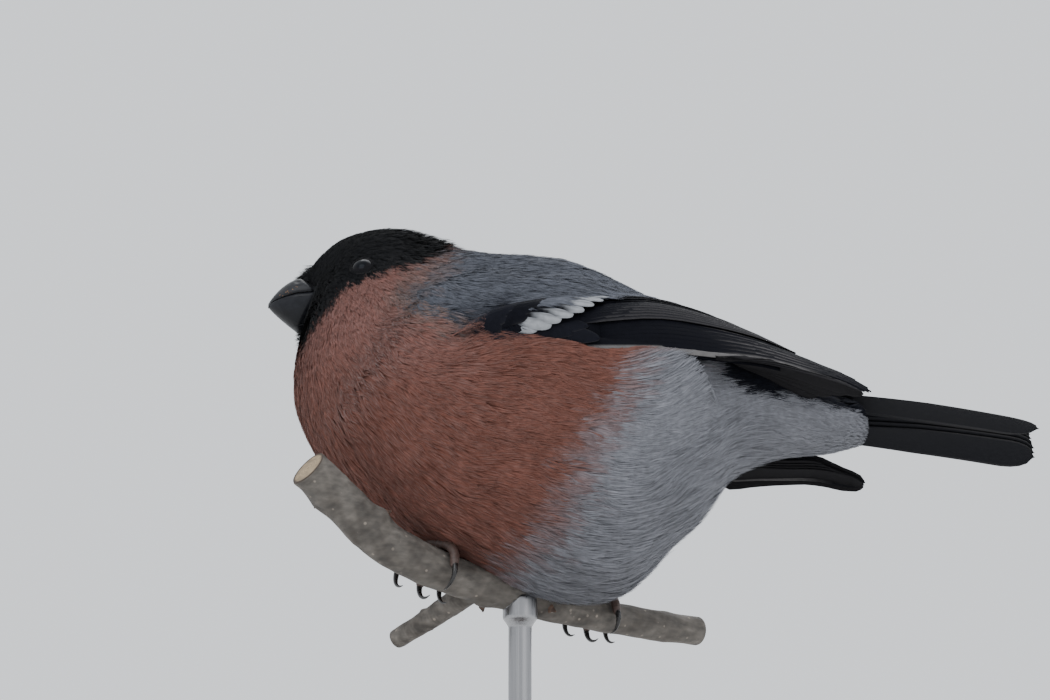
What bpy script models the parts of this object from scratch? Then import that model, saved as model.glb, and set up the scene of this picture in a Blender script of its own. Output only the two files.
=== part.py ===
"""A male bullfinch at life size, perched on a short cut length of branch held by a plain stand.

The bird is laid out in millimetres in its own frame: x runs from beak (-) to tail (+), y from its left
side (-) to its right side (+), and z up from the lowest feathers of the belly. placed() moves that frame
over the stand, whose base is centred on the world's origin.
"""

import math
import random

import bmesh
import bpy
from mathutils import Vector
from mathutils.bvhtree import BVHTree

MM = 0.001
GAP = 0.3

# Stand
BASE_RADIUS = 44.0
BASE_HEIGHT = 9.0
BASE_BEVEL = 1.2
ROD_RADIUS = 2.4
SADDLE_RADIUS = 3.6
SADDLE_HEIGHT = 6.0
BIRD_LIFT = 70.0
BIRD_SHIFT = 8.0

# Body sections from beak to tail: top x, top z, bottom x, bottom z, half width, and the share of the way
# down at which the section is widest
BODY = (
    (-55.6, 73.4, -54.9, 61.0, 1.8, 0.50),
    (-54.0, 75.4, -55.3, 58.8, 3.4, 0.50),
    (-51.2, 78.9, -55.6, 57.4, 4.6, 0.50),
    (-46.5, 82.4, -55.9, 55.8, 7.2, 0.50),
    (-39.5, 84.2, -56.1, 54.2, 10.9, 0.50),
    (-33.0, 83.6, -56.3, 52.2, 13.0, 0.54),
    (-27.0, 81.2, -56.3, 49.0, 15.8, 0.58),
    (-21.5, 79.2, -54.6, 40.5, 20.2, 0.60),
    (-14.5, 77.8, -47.0, 27.2, 26.4, 0.58),
    (-7.0, 77.0, -32.5, 13.9, 30.5, 0.56),
    (0.5, 75.9, -15.0, 6.8, 32.3, 0.55),
    (8.0, 73.4, 0.0, 3.2, 32.2, 0.54),
    (15.5, 69.2, 11.5, 4.9, 30.4, 0.52),
    (23.0, 64.8, 20.5, 12.6, 26.6, 0.50),
    (31.0, 60.2, 28.5, 20.6, 21.6, 0.48),
    (39.5, 55.4, 36.5, 30.2, 17.0, 0.46),
    (48.5, 50.4, 47.0, 33.6, 14.0, 0.46),
    (57.0, 46.4, 57.5, 34.8, 12.4, 0.48),
    (61.0, 44.6, 64.5, 36.6, 11.4, 0.50),
)
BODY_SIDES = 24
HEAD_END = 6.0
NECK_END = 7.4
TORSO_END = 14.0

# Beak
BEAK_TIP_X = -61.8
BEAK_FEATHER_X = -55.8
BEAK_ROOT_X = -50.5
BEAK_TIP_Z = 68.0
CULMEN_RISE = 5.4
GONYS_DROP = 6.5
MOUTH_RISE = 1.4
BEAK_HALF_WIDTH = 4.9
BEAK_SIDES = 14
BEAK_ROUND = 0.9
NOSTRIL = (-56.0, 3.1, 72.2)
NOSTRIL_RADIUS = 0.6

# Eye
EYE_X = -41.4
EYE_Z = 71.7
EYE_RADIUS = 3.1
EYE_SINK = 2.2
LID_RING = 2.3
LID_THICKNESS = 0.5

# Wing sheet of the left wing: x, then y and z of its lower edge, then y and z of its upper edge
WING_SHEET = (
    (-22.0, -27.0, 49.4, -27.2, 53.0),
    (-10.0, -29.2, 50.4, -26.0, 57.0),
    (0.0, -30.6, 49.84, -21.8, 59.96),
    (12.0, -30.68, 49.88, -15.0, 62.64),
    (20.0, -29.52, 50.08, -11.4, 63.32),
    (30.0, -27.96, 49.32, -9.6, 60.68),
    (41.0, -27.0, 48.08, -9.2, 55.28),
    (51.0, -26.4, 45.28, -10.4, 49.64),
    (58.0, -25.6, 42.84, -12.4, 46.28),
    (67.0, -24.6, 38.08, -15.4, 42.36),
)
WING_BULGE = 3.2
RIGHT_WING_HANG = 13.5
HANG_START_X = -8.0
HANG_FULL_X = 35.0
HANG_TIP_LOSS = 0.55
WING_FRONT = -22.0
WING_SLAB_END = 40.0
WING_INSET_FRONT = 2.0
WING_INSET_TIP = 0.6
WING_TIP_X = 66.0
WING_UNDERSIDE = -1.7
SLAB_STEP = 4
SLAB_STRIPS = 6
SLAB_EDGE = 0.6
POCKET_REACH = 14.0
EDGE_STEP = 0.13
ROOT_SINK = 0.9
PRIMARY_TIPS = (60.0, 64.6, 66.0, 65.2, 62.8, 60.0, 57.0, 54.0)
TERTIAL_TIPS = (44.0, 37.0, 30.0)
SECONDARIES = 6
GREAT_COVERTS = 7
PRIMARY_COVERTS = 4
VANE_THICKNESS = 0.55

# Tail
TAIL_ROOT_X = 52.0
TAIL_ROOT_Z = 43.7
TAIL_SLOPE = -0.07
TAIL_DROOP = -0.0014
TAIL_PAIRS = 6
TAIL_ROLL = -0.14
TAIL_ARCH = 0.014
TAIL_STEP = 0.45
TAIL_CORE_HALF = 6.2
TAIL_CORE_THICK = 1.1
TAIL_SLOT_ROOM = 1.9

# Perch: x, y, z and radius along its axis, in the bird's frame
PERCH = (
    (-49.0, -30.0, 23.5, 3.9),
    (-43.0, -25.0, 18.2, 4.1),
    (-36.5, -20.0, 12.6, 4.2),
    (-29.0, -14.6, 8.6, 4.1),
    (-20.0, -8.0, 6.0, 3.8),
    (-10.0, -0.5, 4.4, 3.6),
    (0.0, 6.8, 2.9, 3.5),
    (9.0, 13.4, 2.0, 3.4),
    (20.0, 21.4, 1.4, 3.3),
    (31.0, 29.4, 1.2, 3.1),
)
PERCH_RESOLUTION = 3
PERCH_LENGTH = 105.0
TWIG = ((-17.0, -6.0, 4.6, 2.6), (-25.0, 2.0, 0.6, 2.3), (-34.0, 9.5, -3.6, 2.0))
BUDS = ((0.08, 200.0, 1.5), (0.20, 60.0, 1.2), (0.50, 250.0, 1.3), (0.62, 330.0, 1.4), (0.92, 170.0, 1.2))

# Feet: share along the perch's axis where each foot grips
FOOT_PLACE = {"left": 0.385, "right": 0.775}
TOE_RADIUS = 1.0
CLAW_RADIUS = 0.62
TARSUS_RADIUS = 1.15
TARSUS_LENGTH = 11.0
FRONT_TOES = ((-5.5, 104.0), (0.0, 118.0), (5.0, 100.0))
HALLUX = (1.0, -84.0)
CLAW_TURN = 62.0


def placed(point):
    """A point of the bird's frame in millimetres, as world metres."""
    x, y, z = point
    return ((x + BIRD_SHIFT) * MM, y * MM, (z + BIRD_LIFT) * MM)


def clear_scene():
    for obj in list(bpy.data.objects):
        bpy.data.objects.remove(obj, do_unlink=True)


def new_collection(name):
    collection = bpy.data.collections.new(name)
    bpy.context.scene.collection.children.link(collection)
    return collection


def material(name, colour, roughness, metallic=0.0):
    made = bpy.data.materials.new(name)
    made.use_nodes = True
    shader = made.node_tree.nodes["Principled BSDF"]
    shader.inputs["Base Color"].default_value = (*colour, 1.0)
    shader.inputs["Roughness"].default_value = roughness
    shader.inputs["Metallic"].default_value = metallic
    return made


def mesh_object(name, points, faces, collection, finish=None):
    """An object from points in the bird's frame."""
    mesh = bpy.data.meshes.new(name)
    mesh.from_pydata([placed(p) for p in points], [], faces)
    mesh.validate()
    mesh.shade_smooth()
    mesh.set_sharp_from_angle(angle=math.radians(40))
    obj = bpy.data.objects.new(name, mesh)
    collection.objects.link(obj)
    if finish:
        mesh.materials.append(finish)
    return obj


def facing_out(obj):
    shape = bmesh.new()
    shape.from_mesh(obj.data)
    bmesh.ops.recalc_face_normals(shape, faces=shape.faces)
    shape.to_mesh(obj.data)
    shape.free()
    return obj


def apply_modifiers(obj):
    bpy.context.view_layer.update()
    graph = bpy.context.evaluated_depsgraph_get()
    mesh = bpy.data.meshes.new_from_object(obj.evaluated_get(graph))
    obj.modifiers.clear()
    obj.data = mesh
    return obj


def keep_largest(obj):
    """Leaves an object only its largest closed surface."""
    shape = bmesh.new()
    shape.from_mesh(obj.data)
    shape.faces.ensure_lookup_table()
    seen = set()
    groups = []
    for start in shape.faces:
        if start.index in seen:
            continue
        seen.add(start.index)
        group = [start]
        for face in group:
            for edge in face.edges:
                for other in edge.link_faces:
                    if other.index not in seen:
                        seen.add(other.index)
                        group.append(other)
        groups.append(group)
    groups.sort(key=lambda group: sum(face.calc_area() for face in group), reverse=True)
    loose = [face for group in groups[1:] for face in group]
    bmesh.ops.delete(shape, geom=loose, context="FACES")
    shape.verts.ensure_lookup_table()
    bmesh.ops.delete(shape, geom=[v for v in shape.verts if not v.link_faces], context="VERTS")
    shape.to_mesh(obj.data)
    shape.free()
    return obj


def union(obj, others, solver="EXACT"):
    """Joins closed meshes to obj in one Boolean and removes them."""
    group = new_collection(obj.name + "_pieces")
    for other in others:
        for owner in list(other.users_collection):
            owner.objects.unlink(other)
        group.objects.link(other)
    joined = obj.modifiers.new("joined", "BOOLEAN")
    joined.operation = "UNION"
    joined.operand_type = "COLLECTION"
    joined.collection = group
    joined.solver = solver
    apply_modifiers(obj)
    for other in others:
        bpy.data.objects.remove(other, do_unlink=True)
    bpy.data.collections.remove(group)
    return keep_largest(obj)


def cut(obj, cutter):
    """Takes a closed mesh out of obj. The cutter stays for other cuts."""
    taken = obj.modifiers.new("cut", "BOOLEAN")
    taken.operation = "DIFFERENCE"
    taken.object = cutter
    taken.solver = "EXACT"
    apply_modifiers(obj)
    return keep_largest(obj)


def loft(rings):
    """Faces of a closed tube over rings of equal length, each end closed by a fan, and its points."""
    sides = len(rings[0])
    points = [p for ring in rings for p in ring]
    faces = []
    for i in range(len(rings) - 1):
        for j in range(sides):
            k = (j + 1) % sides
            faces.append((i * sides + j, i * sides + k, (i + 1) * sides + k, (i + 1) * sides + j))
    for ring, first in ((rings[0], 0), (rings[-1], (len(rings) - 1) * sides)):
        centre = len(points)
        points.append(tuple(sum(p[a] for p in ring) / sides for a in range(3)))
        for j in range(sides):
            faces.append((first + j, centre, first + (j + 1) % sides))
    return points, faces


def between(rows, u):
    """A row read from a smooth curve through the rows, at u rows along."""
    last = len(rows) - 1
    i = min(max(int(u), 0), last - 1)
    f = u - i
    a, b, c, d = (rows[min(max(i + k, 0), last)] for k in (-1, 0, 1, 2))
    return tuple(
        0.5 * (2 * q + f * (r - p) + f * f * (2 * p - 5 * q + 4 * r - s) + f**3 * (3 * q - p - 3 * r + s))
        for p, q, r, s in zip(a, b, c, d)
    )


def row_at(rows, x):
    """A row of a table whose first column rises, read at x."""
    last = len(rows) - 1
    i = 0
    while i < last - 1 and rows[i + 1][0] < x:
        i += 1
    share = (x - rows[i][0]) / (rows[i + 1][0] - rows[i][0])
    return between(rows, i + min(max(share, 0.0), 1.0))


def tube(name, points, radii, collection, resolution=2):
    """A mesh tube from a bevelled curve with filled ends, in the bird's frame."""
    curve = bpy.data.curves.new(name, "CURVE")
    curve.dimensions = "3D"
    curve.bevel_depth = 1.0
    curve.bevel_resolution = resolution
    curve.use_fill_caps = True
    spline = curve.splines.new("POLY")
    spline.points.add(len(points) - 1)
    for target, point, radius in zip(spline.points, points, radii):
        target.co = (*placed(point), 1.0)
        target.radius = radius * MM
    guide = bpy.data.objects.new(name + "_guide", curve)
    collection.objects.link(guide)
    bpy.context.view_layer.update()
    graph = bpy.context.evaluated_depsgraph_get()
    mesh = bpy.data.meshes.new_from_object(guide.evaluated_get(graph))
    shape = bmesh.new()
    shape.from_mesh(mesh)
    bmesh.ops.remove_doubles(shape, verts=shape.verts, dist=0.00001)
    bmesh.ops.recalc_face_normals(shape, faces=shape.faces)
    bmesh.ops.triangulate(shape, faces=[f for f in shape.faces if len(f.verts) > 4])
    shape.to_mesh(mesh)
    shape.free()
    mesh.shade_smooth()
    obj = bpy.data.objects.new(name, mesh)
    obj.matrix_world = guide.matrix_world
    collection.objects.link(obj)
    bpy.data.objects.remove(guide, do_unlink=True)
    return obj


# Body


def body_ring(u, shift=0.0):
    """The body's outline in its section u, moved along the section's normal by shift."""
    top_x, top_z, bottom_x, bottom_z, half_width, widest = between(BODY, u)
    down = Vector((bottom_x - top_x, 0.0, bottom_z - top_z))
    length = down.length
    down.normalize()
    normal = Vector((-down.z, 0.0, down.x))
    centre = Vector((top_x, 0.0, top_z)) + down * length * widest + normal * shift
    ring = []
    for i in range(BODY_SIDES):
        angle = 2 * math.pi * i / BODY_SIDES
        up = math.cos(angle)
        across = math.sin(angle)
        reach = length * widest if up > 0 else length * (1 - widest)
        ring.append(tuple(centre - down * (up * reach) + Vector((0, across * half_width, 0))))
    return ring


def body_piece(name, start, end, steps, collection, finish):
    """A closed length of the body. Inner ends stop half a gap short of the section that parts two pieces."""
    rings = []
    for i in range(steps + 1):
        u = start + (end - start) * i / steps
        shift = 0.0
        if i == 0 and start > 0:
            shift = GAP / 2
        if i == steps and end < len(BODY) - 1:
            shift = -GAP / 2
        rings.append(body_ring(u, shift))
    points, faces = loft(rings)
    return facing_out(mesh_object(name, points, faces, collection, finish))


def surface_y(obj, x, z):
    """How far out the left side of an object's mesh reaches at x and z, in the bird's frame."""
    tree = BVHTree.FromPolygons(
        [v.co.copy() for v in obj.data.vertices], [tuple(p.vertices) for p in obj.data.polygons]
    )
    start = Vector(placed((x, -100.0, z)))
    hit, normal, _, _ = tree.ray_cast(start, Vector((0, 1, 0)))
    return hit.y / MM, normal


# Beak


def beak_row(x):
    """Top, mouth line, bottom and half width of the beak at x."""
    q = (x - BEAK_TIP_X) / (BEAK_FEATHER_X - BEAK_TIP_X)
    near = min(q, 1.0)
    beyond = max(q - 1.0, 0.0)
    top = BEAK_TIP_Z + CULMEN_RISE * (1 - (1 - near) ** 1.6) ** 0.77 + 0.4 * beyond
    mouth = BEAK_TIP_Z - 0.1 + MOUTH_RISE * min(q / 1.8, 1.0) ** 0.8
    bottom = BEAK_TIP_Z - 0.4 - GONYS_DROP * near**0.85 - 0.9 * beyond
    half = BEAK_HALF_WIDTH * (1 - (1 - near) ** 1.7) ** 0.72 + 0.2 * beyond
    return top, mouth, bottom, half


def beak_ring(x, upper):
    """One jaw's section: an arch over (or under) its flat face along the mouth line."""
    top, mouth, bottom, half = beak_row(x)
    ring = []
    reach = (top - mouth) if upper else (mouth - bottom)
    sign = 1 if upper else -1
    for i in range(BEAK_SIDES):
        angle = math.pi * i / (BEAK_SIDES - 1)
        across = math.cos(angle) * half
        rise = max(math.sin(angle), 0.0) ** BEAK_ROUND * (reach - GAP / 2)
        ring.append((x, across, mouth + sign * (GAP / 2 + rise)))
    return ring


def beak_jaw(name, upper, collection, finish):
    stations = 10
    rings = []
    for i in range(stations + 1):
        share = (i / stations) ** 1.5
        x = BEAK_TIP_X + 0.25 + (0.0 if upper else 0.5) + share * (BEAK_ROOT_X - BEAK_TIP_X - 0.75)
        rings.append(beak_ring(x, upper))
    points, faces = loft(rings)
    return facing_out(mesh_object(name, points, faces, collection, finish))


def beak_cutter(collection):
    """The whole beak with a gap all round, to let it into the head."""
    rings = []
    sides = 20
    for i in range(9):
        x = BEAK_TIP_X + 0.6 + i * (BEAK_ROOT_X + GAP - BEAK_TIP_X - 0.6) / 8
        top, mouth, bottom, half = beak_row(x)
        ring = []
        for j in range(sides):
            angle = 2 * math.pi * j / sides
            up = math.sin(angle)
            reach = (top - mouth) if up > 0 else (mouth - bottom)
            rise = math.copysign(abs(up) ** BEAK_ROUND, up) * (reach + GAP)
            ring.append((x, math.cos(angle) * (half + GAP), mouth + rise))
        rings.append(ring)
    points, faces = loft(rings)
    return facing_out(mesh_object("beak_cutter", points, faces, collection))


def ball(name, centre, radius, collection, segments=16):
    mesh = bpy.data.meshes.new(name)
    shape = bmesh.new()
    bmesh.ops.create_uvsphere(shape, u_segments=segments, v_segments=segments // 2, radius=radius * MM)
    bmesh.ops.translate(shape, vec=placed(centre), verts=shape.verts)
    shape.to_mesh(mesh)
    shape.free()
    mesh.shade_smooth()
    obj = bpy.data.objects.new(name, mesh)
    collection.objects.link(obj)
    return obj


def lid_ring(name, centre, facing, collection):
    """A closed ring round the eye's opening, a little wider than high."""
    out = Vector(facing).normalized()
    side = out.cross(Vector((0, 0, 1))).normalized()
    up = side.cross(out)
    around, tube_sides = 16, 5
    points = []
    faces = []
    for i in range(around):
        angle = 2 * math.pi * i / around
        ray = side * (math.cos(angle) * 1.08) + up * (math.sin(angle) * 0.9)
        for j in range(tube_sides):
            turn = 2 * math.pi * j / tube_sides
            offset = ray * (LID_RING + math.cos(turn) * LID_THICKNESS)
            offset += out * (math.sin(turn) * LID_THICKNESS)
            points.append(tuple(Vector(centre) + offset))
            k = (j + 1) % tube_sides
            n = (i + 1) % around
            faces.append((i * tube_sides + j, i * tube_sides + k, n * tube_sides + k, n * tube_sides + j))
    return facing_out(mesh_object(name, points, faces, collection))


# Feathers


def vane(name, stations, collection):
    """A thin tapered feather from stations of centre, side, normal, half width and thickness."""
    points = []
    faces = []
    for centre, side, normal, half, thick in stations:
        edge = side * half
        lift = normal * (thick / 2)
        points += [centre - edge + lift, centre + edge + lift, centre + edge - lift, centre - edge - lift]
    for i in range(len(stations) - 1):
        a = 4 * i
        b = a + 4
        faces += [(a, a + 1, b + 1), (a, b + 1, b)]
        faces += [(a + 3, b + 2, a + 2), (a + 3, b + 3, b + 2)]
        faces += [(a + 1, a + 2, b + 2), (a + 1, b + 2, b + 1)]
        faces += [(a, b, b + 3), (a, b + 3, a + 3)]
    last = 4 * (len(stations) - 1)
    faces += [(0, 3, 2), (0, 2, 1), (last, last + 1, last + 2), (last, last + 2, last + 3)]
    return facing_out(mesh_object(name, [tuple(p) for p in points], faces, collection))


VANE_OUTLINE = ((0.0, 0.6), (0.35, 0.95), (0.75, 1.0), (0.93, 0.7), (1.0, 0.26))


def wing_point(x, down_across, height, hang=0.0):
    """A point of a left wing: along x, millimetres across from its lower edge, and height over its sheet."""
    _, low_y, low_z, high_y, high_z = row_at(WING_SHEET, x)
    slack = share_between(x, HANG_START_X, HANG_FULL_X)
    drop = hang * slack * slack * (3 - 2 * slack)
    drop *= 1 - HANG_TIP_LOSS * share_between(x, WING_SLAB_END, WING_TIP_X)
    low = Vector((x, low_y, low_z - drop))
    high = Vector((x, high_y, high_z - drop * 0.5))
    width = (high - low).length
    t = down_across / width
    normal = (high - low).cross(Vector((1, 0, 0))).normalized()
    if normal.y > 0:
        normal = -normal
    shift = min(max((x - 20.0) / (WING_TIP_X - 20.0), 0.0), 1.0)
    inset = WING_INSET_FRONT + (WING_INSET_TIP - WING_INSET_FRONT) * shift
    bulge = WING_BULGE * (1 - 0.6 * shift) * 4 * t * (1 - t)
    return low + (high - low) * t + normal * (bulge + height - inset), width


def wing_vane(name, root, tip, half, height, hang, collection):
    """A feather lying on the wing's sheet. root and tip are x and the share of the way across."""
    stations = []
    root_x, root_t = root
    tip_x, tip_t = tip
    for u, wide in VANE_OUTLINE:
        x = root_x + (tip_x - root_x) * u
        width = wing_point(x, 0.0, 0.0, hang)[1]
        wide_here = half * wide
        lowest = wide_here + 0.05 + EDGE_STEP * (height + 1.0)
        across = max((root_t + (tip_t - root_t) * u) * width, lowest)
        level = height - ROOT_SINK * max(1.0 - u / 0.35, 0.0)
        centre, _ = wing_point(x, across, level, hang)
        upper, _ = wing_point(x, across + 1.0, level, hang)
        ahead, _ = wing_point(x + 1.0, across, level, hang)
        side = (upper - centre).normalized()
        normal = side.cross((ahead - centre).normalized()).normalized()
        if normal.y > 0:
            normal = -normal
        stations.append((centre, side, normal, wide_here, VANE_THICKNESS))
    return vane(name, stations, collection)


def share_between(value, start, end):
    return min(max((value - start) / (end - start), 0.0), 1.0)


def wing_stations(start, end):
    """Places along the wing shared by its slab and its pocket, so that their faces run side by side."""
    inner = [x for x in range(-20, 72, SLAB_STEP) if start < x < end]
    return [start] + inner + [end]


def wing_slab(name, start, end, low, high, margin, hang, collection):
    """A closed slab over the wing's sheet: low is a height at x, high one at x and the share across."""
    rings = []
    for x in wing_stations(start, end):
        covered = wing_point(x, 0.0, 0.0, hang)[1]
        lower = []
        upper = []
        for j in range(SLAB_STRIPS + 1):
            t = j / SLAB_STRIPS
            at = covered * t
            if j == 0:
                at -= margin
            if j == SLAB_STRIPS:
                at += margin
            lower.append(tuple(wing_point(x, at, low(x), hang)[0]))
            upper.append(tuple(wing_point(x, at, high(x, t), hang)[0]))
        rings.append(lower + upper[::-1])
    points, faces = loft(rings)
    return facing_out(mesh_object(name, points, faces, collection))


def slab_low(x):
    """The wing's inner side, thinner towards its tip."""
    return WING_UNDERSIDE + 1.1 * share_between(x, 24.0, 42.0)


def slab_high(x, t):
    """The outer side of the wing's flesh and small coverts, which the quills leave."""
    full = 1.0 + 1.2 * share_between(t, 0.05, 0.35)
    rounded = full - (full + 0.8) * (1.0 - share_between(x, WING_FRONT, WING_FRONT + 7.0)) ** 2
    falling = rounded - 1.2 * share_between(x, 4.0, 16.0) - 1.3 * share_between(x, 16.0, 38.0)
    return max(falling, slab_low(x) + SLAB_EDGE)


def wing_feathers(hang, collection):
    """All of one wing's feathers, from the outermost primary up to the coverts."""
    vary = random.Random(5)
    made = []

    def add(name, root, tip, half, height):
        tip = (tip[0] + vary.uniform(-0.35, 0.35), tip[1] + vary.uniform(-0.007, 0.007))
        height += vary.uniform(-0.03, 0.03)
        made.append(wing_vane(name, root, tip, half, height, hang, collection))

    for i, tip_x in enumerate(PRIMARY_TIPS):
        add(f"primary_{i}", (14.0, 0.08 + 0.03 * i), (tip_x, 0.06 + 0.07 * i), 2.7, 0.26 * i - 0.3)
    for i in range(SECONDARIES):
        root = (2.0 + 1.5 * i, 0.26 + 0.06 * i)
        add(f"secondary_{i}", root, (52.0 - 1.3 * i, 0.58 + 0.055 * i), 3.4, 1.25 + 0.17 * i)
    for i, tip_x in enumerate(TERTIAL_TIPS):
        add(f"tertial_{i}", (8.0 - 2 * i, 0.70 + 0.05 * i), (tip_x, 0.84 + 0.02 * i), 3.6, 2.35 + 0.3 * i)
    for i in range(GREAT_COVERTS):
        tip = (-8.0 + 3.5 * i, 0.17 + 0.1 * i)
        root = (max(tip[0] - 13.0, -20.0 + i), tip[1] - 0.02)
        add(f"great_covert_{i}", root, tip, 2.3, 2.4 + 0.06 * i)
    for i in range(PRIMARY_COVERTS):
        tip = (11.0 - 3.0 * i, 0.10 + 0.025 * i)
        add(f"primary_covert_{i}", (tip[0] - 14.0, 0.2), tip, 1.7, 1.5 + 0.22 * i)
    return made


def mirror_over(obj):
    """Turns a shape of the left side into one of the right."""
    for vertex in obj.data.vertices:
        vertex.co.y = -vertex.co.y
    obj.data.flip_normals()
    return obj


def wing(name, hang, right, parts, scrap, finish):
    """A folded wing and the pocket it needs in the body, made on the left and mirrored for the right."""
    made = wing_slab(name, WING_FRONT, WING_SLAB_END, slab_low, slab_high, 0.0, hang, parts)
    made.data.materials.append(finish)
    union(made, wing_feathers(hang, scrap), "MANIFOLD")
    room = GAP + 0.1
    pocket = wing_slab(
        name + "_pocket",
        WING_FRONT - room,
        WING_TIP_X + 1.0,
        lambda x: slab_low(x) - room,
        lambda x, t: POCKET_REACH,
        room,
        hang,
        scrap,
    )
    if right:
        mirror_over(made)
        mirror_over(pocket)
    return pocket


def tail_z(x):
    along = x - TAIL_ROOT_X
    return TAIL_ROOT_Z + TAIL_SLOPE * along + TAIL_DROOP * along * along


def tail_vane(pair, side, collection):
    """One tail feather: pair 0 is the middle one on top, and each outer one lies lower."""
    root_y = side * (0.9 + 0.95 * pair)
    tip_y = side * (1.7 + 1.0 * pair)
    tip_x = 98.6 + 0.5 * pair
    level = 1.1 - TAIL_STEP * pair + (0.2 if side > 0 else 0.0)
    stations = []
    for u, wide in VANE_OUTLINE:
        x = TAIL_ROOT_X + (tip_x - TAIL_ROOT_X) * u
        y = root_y + (tip_y - root_y) * u
        half = (2.4 + 2.6 * min(u / 0.7, 1.0)) * (wide if u > 0.6 else 1.0)
        sag = (TAIL_ROLL * y - TAIL_ARCH * y * y) * u
        centre = Vector((x, y, tail_z(x) + level + sag))
        ahead = Vector((x + 1, y, tail_z(x + 1) + level + sag))
        across = Vector((0, 1, (TAIL_ROLL - 2 * TAIL_ARCH * y) * u)).normalized()
        normal = (ahead - centre).normalized().cross(across).normalized()
        stations.append((centre, across, normal, half, VANE_THICKNESS))
    return vane(f"rectrix_{pair}_{side}", stations, collection)


def tail_core(collection, name, grow=0.0, end=58.0):
    """The bundle of quills that the tail's feathers leave, or with grow the slot that it sits in."""
    rings = []
    for i in range(4):
        x = TAIL_ROOT_X - grow + (end - TAIL_ROOT_X + 2 * grow) * i / 3
        half = TAIL_CORE_HALF + 0.1 * (x - TAIL_ROOT_X) + grow
        low = tail_z(x) - TAIL_CORE_THICK - grow
        high = tail_z(x) + TAIL_CORE_THICK + grow
        rings.append([(x, -half, low), (x, half, low), (x, half, high), (x, -half, high)])
    points, faces = loft(rings)
    return facing_out(mesh_object(name, points, faces, collection))


# Perch and feet


def perch_at(share):
    """The perch's axis point, radius and direction at a share of its length."""
    u = share * (len(PERCH) - 1)
    here = between(PERCH, u)
    ahead = between(PERCH, min(u + 0.05, len(PERCH) - 1.0))
    behind = between(PERCH, max(u - 0.05, 0.0))
    along = (Vector(ahead[:3]) - Vector(behind[:3])).normalized()
    return Vector(here[:3]), here[3], along


def perch_tube(name, grow, collection, steps=24):
    points = []
    radii = []
    ripple = random.Random(11)
    for i in range(steps + 1):
        centre, radius, _ = perch_at(i / steps)
        points.append(tuple(centre))
        radii.append(radius + grow + (0.0 if grow else ripple.uniform(-0.12, 0.12)))
    return tube(name, points, radii, collection, PERCH_RESOLUTION)


def bud(name, share, angle, size, collection):
    """A small pointed bud on the perch."""
    centre, radius, along = perch_at(share)
    side = along.cross(Vector((0, 0, 1))).normalized()
    up = side.cross(along)
    out = side * math.cos(math.radians(angle)) + up * math.sin(math.radians(angle))
    lean = (out + along * 0.5).normalized()
    start = centre + out * (radius - 1.2)
    points = [tuple(start + lean * s) for s in (0.0, size * 0.9, size * 1.7, size * 2.2)]
    return tube(name, points, [size * 0.7, size * 0.8, size * 0.5, size * 0.16], collection, 1)


def foot_frame(side, splay=0.0):
    """The perch under a foot, splay millimetres along it: axis point, radius, along, front and up."""
    centre, radius, along = perch_at(FOOT_PLACE[side] + splay / PERCH_LENGTH)
    front = Vector((0, 0, 1)).cross(along).normalized()
    if front.x > 0:
        front = -front
    up = along.cross(front).normalized()
    if up.z < 0:
        up = -up
    return centre, radius, along, front, up


def toe_path(side, splay, reach, claw):
    """Centre line and radii of one toe and its claw, wrapped round the perch. Angles run from its top."""
    sign = 1 if reach > 0 else -1
    points = []
    radii = []
    steps = 5
    for i in range(steps + 1):
        share = i / steps
        angle = math.radians(reach * share)
        centre, radius, _, front, up = foot_frame(side, splay * min(share * 1.4, 1.0))
        lift = radius + GAP + TOE_RADIUS * (1.2 - 0.25 * share)
        points.append(tuple(centre + (up * math.cos(angle) + front * math.sin(angle)) * lift))
        radii.append(TOE_RADIUS * (1.05 - 0.25 * share + (0.08 if i % 2 else 0.0)))
    if not claw:
        return points, radii
    for i in range(1, 6):
        share = i / 5
        angle = math.radians(reach + sign * CLAW_TURN * share)
        lift = radius + GAP + 1.0 + 1.3 * math.sin(math.pi * share * 0.8) - 0.4 * share
        points.append(tuple(centre + (up * math.cos(angle) + front * math.sin(angle)) * lift))
        radii.append(CLAW_RADIUS * (1 - share) + 0.16)
    return points, radii


def leg_pieces(side, collection, grow=0.0):
    """Tarsus and four toes as tubes, with grow the clearance that they need."""
    centre, radius, _, front, up = foot_frame(side)
    pieces = []
    knuckle = centre + up * (radius + GAP + TOE_RADIUS * 1.2)
    lean = (Vector((0, 0, 1)) - front * 0.55 - Vector((0, knuckle.y, 0)).normalized() * 0.12).normalized()
    points = [tuple(knuckle + lean * s) for s in (-0.2, 2.0, 6.0, TARSUS_LENGTH)]
    radii = [TARSUS_RADIUS * f + grow for f in (1.15, 1.0, 0.95, 1.1)]
    pieces.append(tube(f"tarsus_{side}", points, radii, collection))
    for number, (splay, reach) in enumerate(FRONT_TOES + (HALLUX,)):
        points, radii = toe_path(side, splay, reach, True)
        radii = [r + grow for r in radii]
        pieces.append(tube(f"toe_{side}_{number}", points, radii, collection, 1))
    return pieces


# Stand


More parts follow.
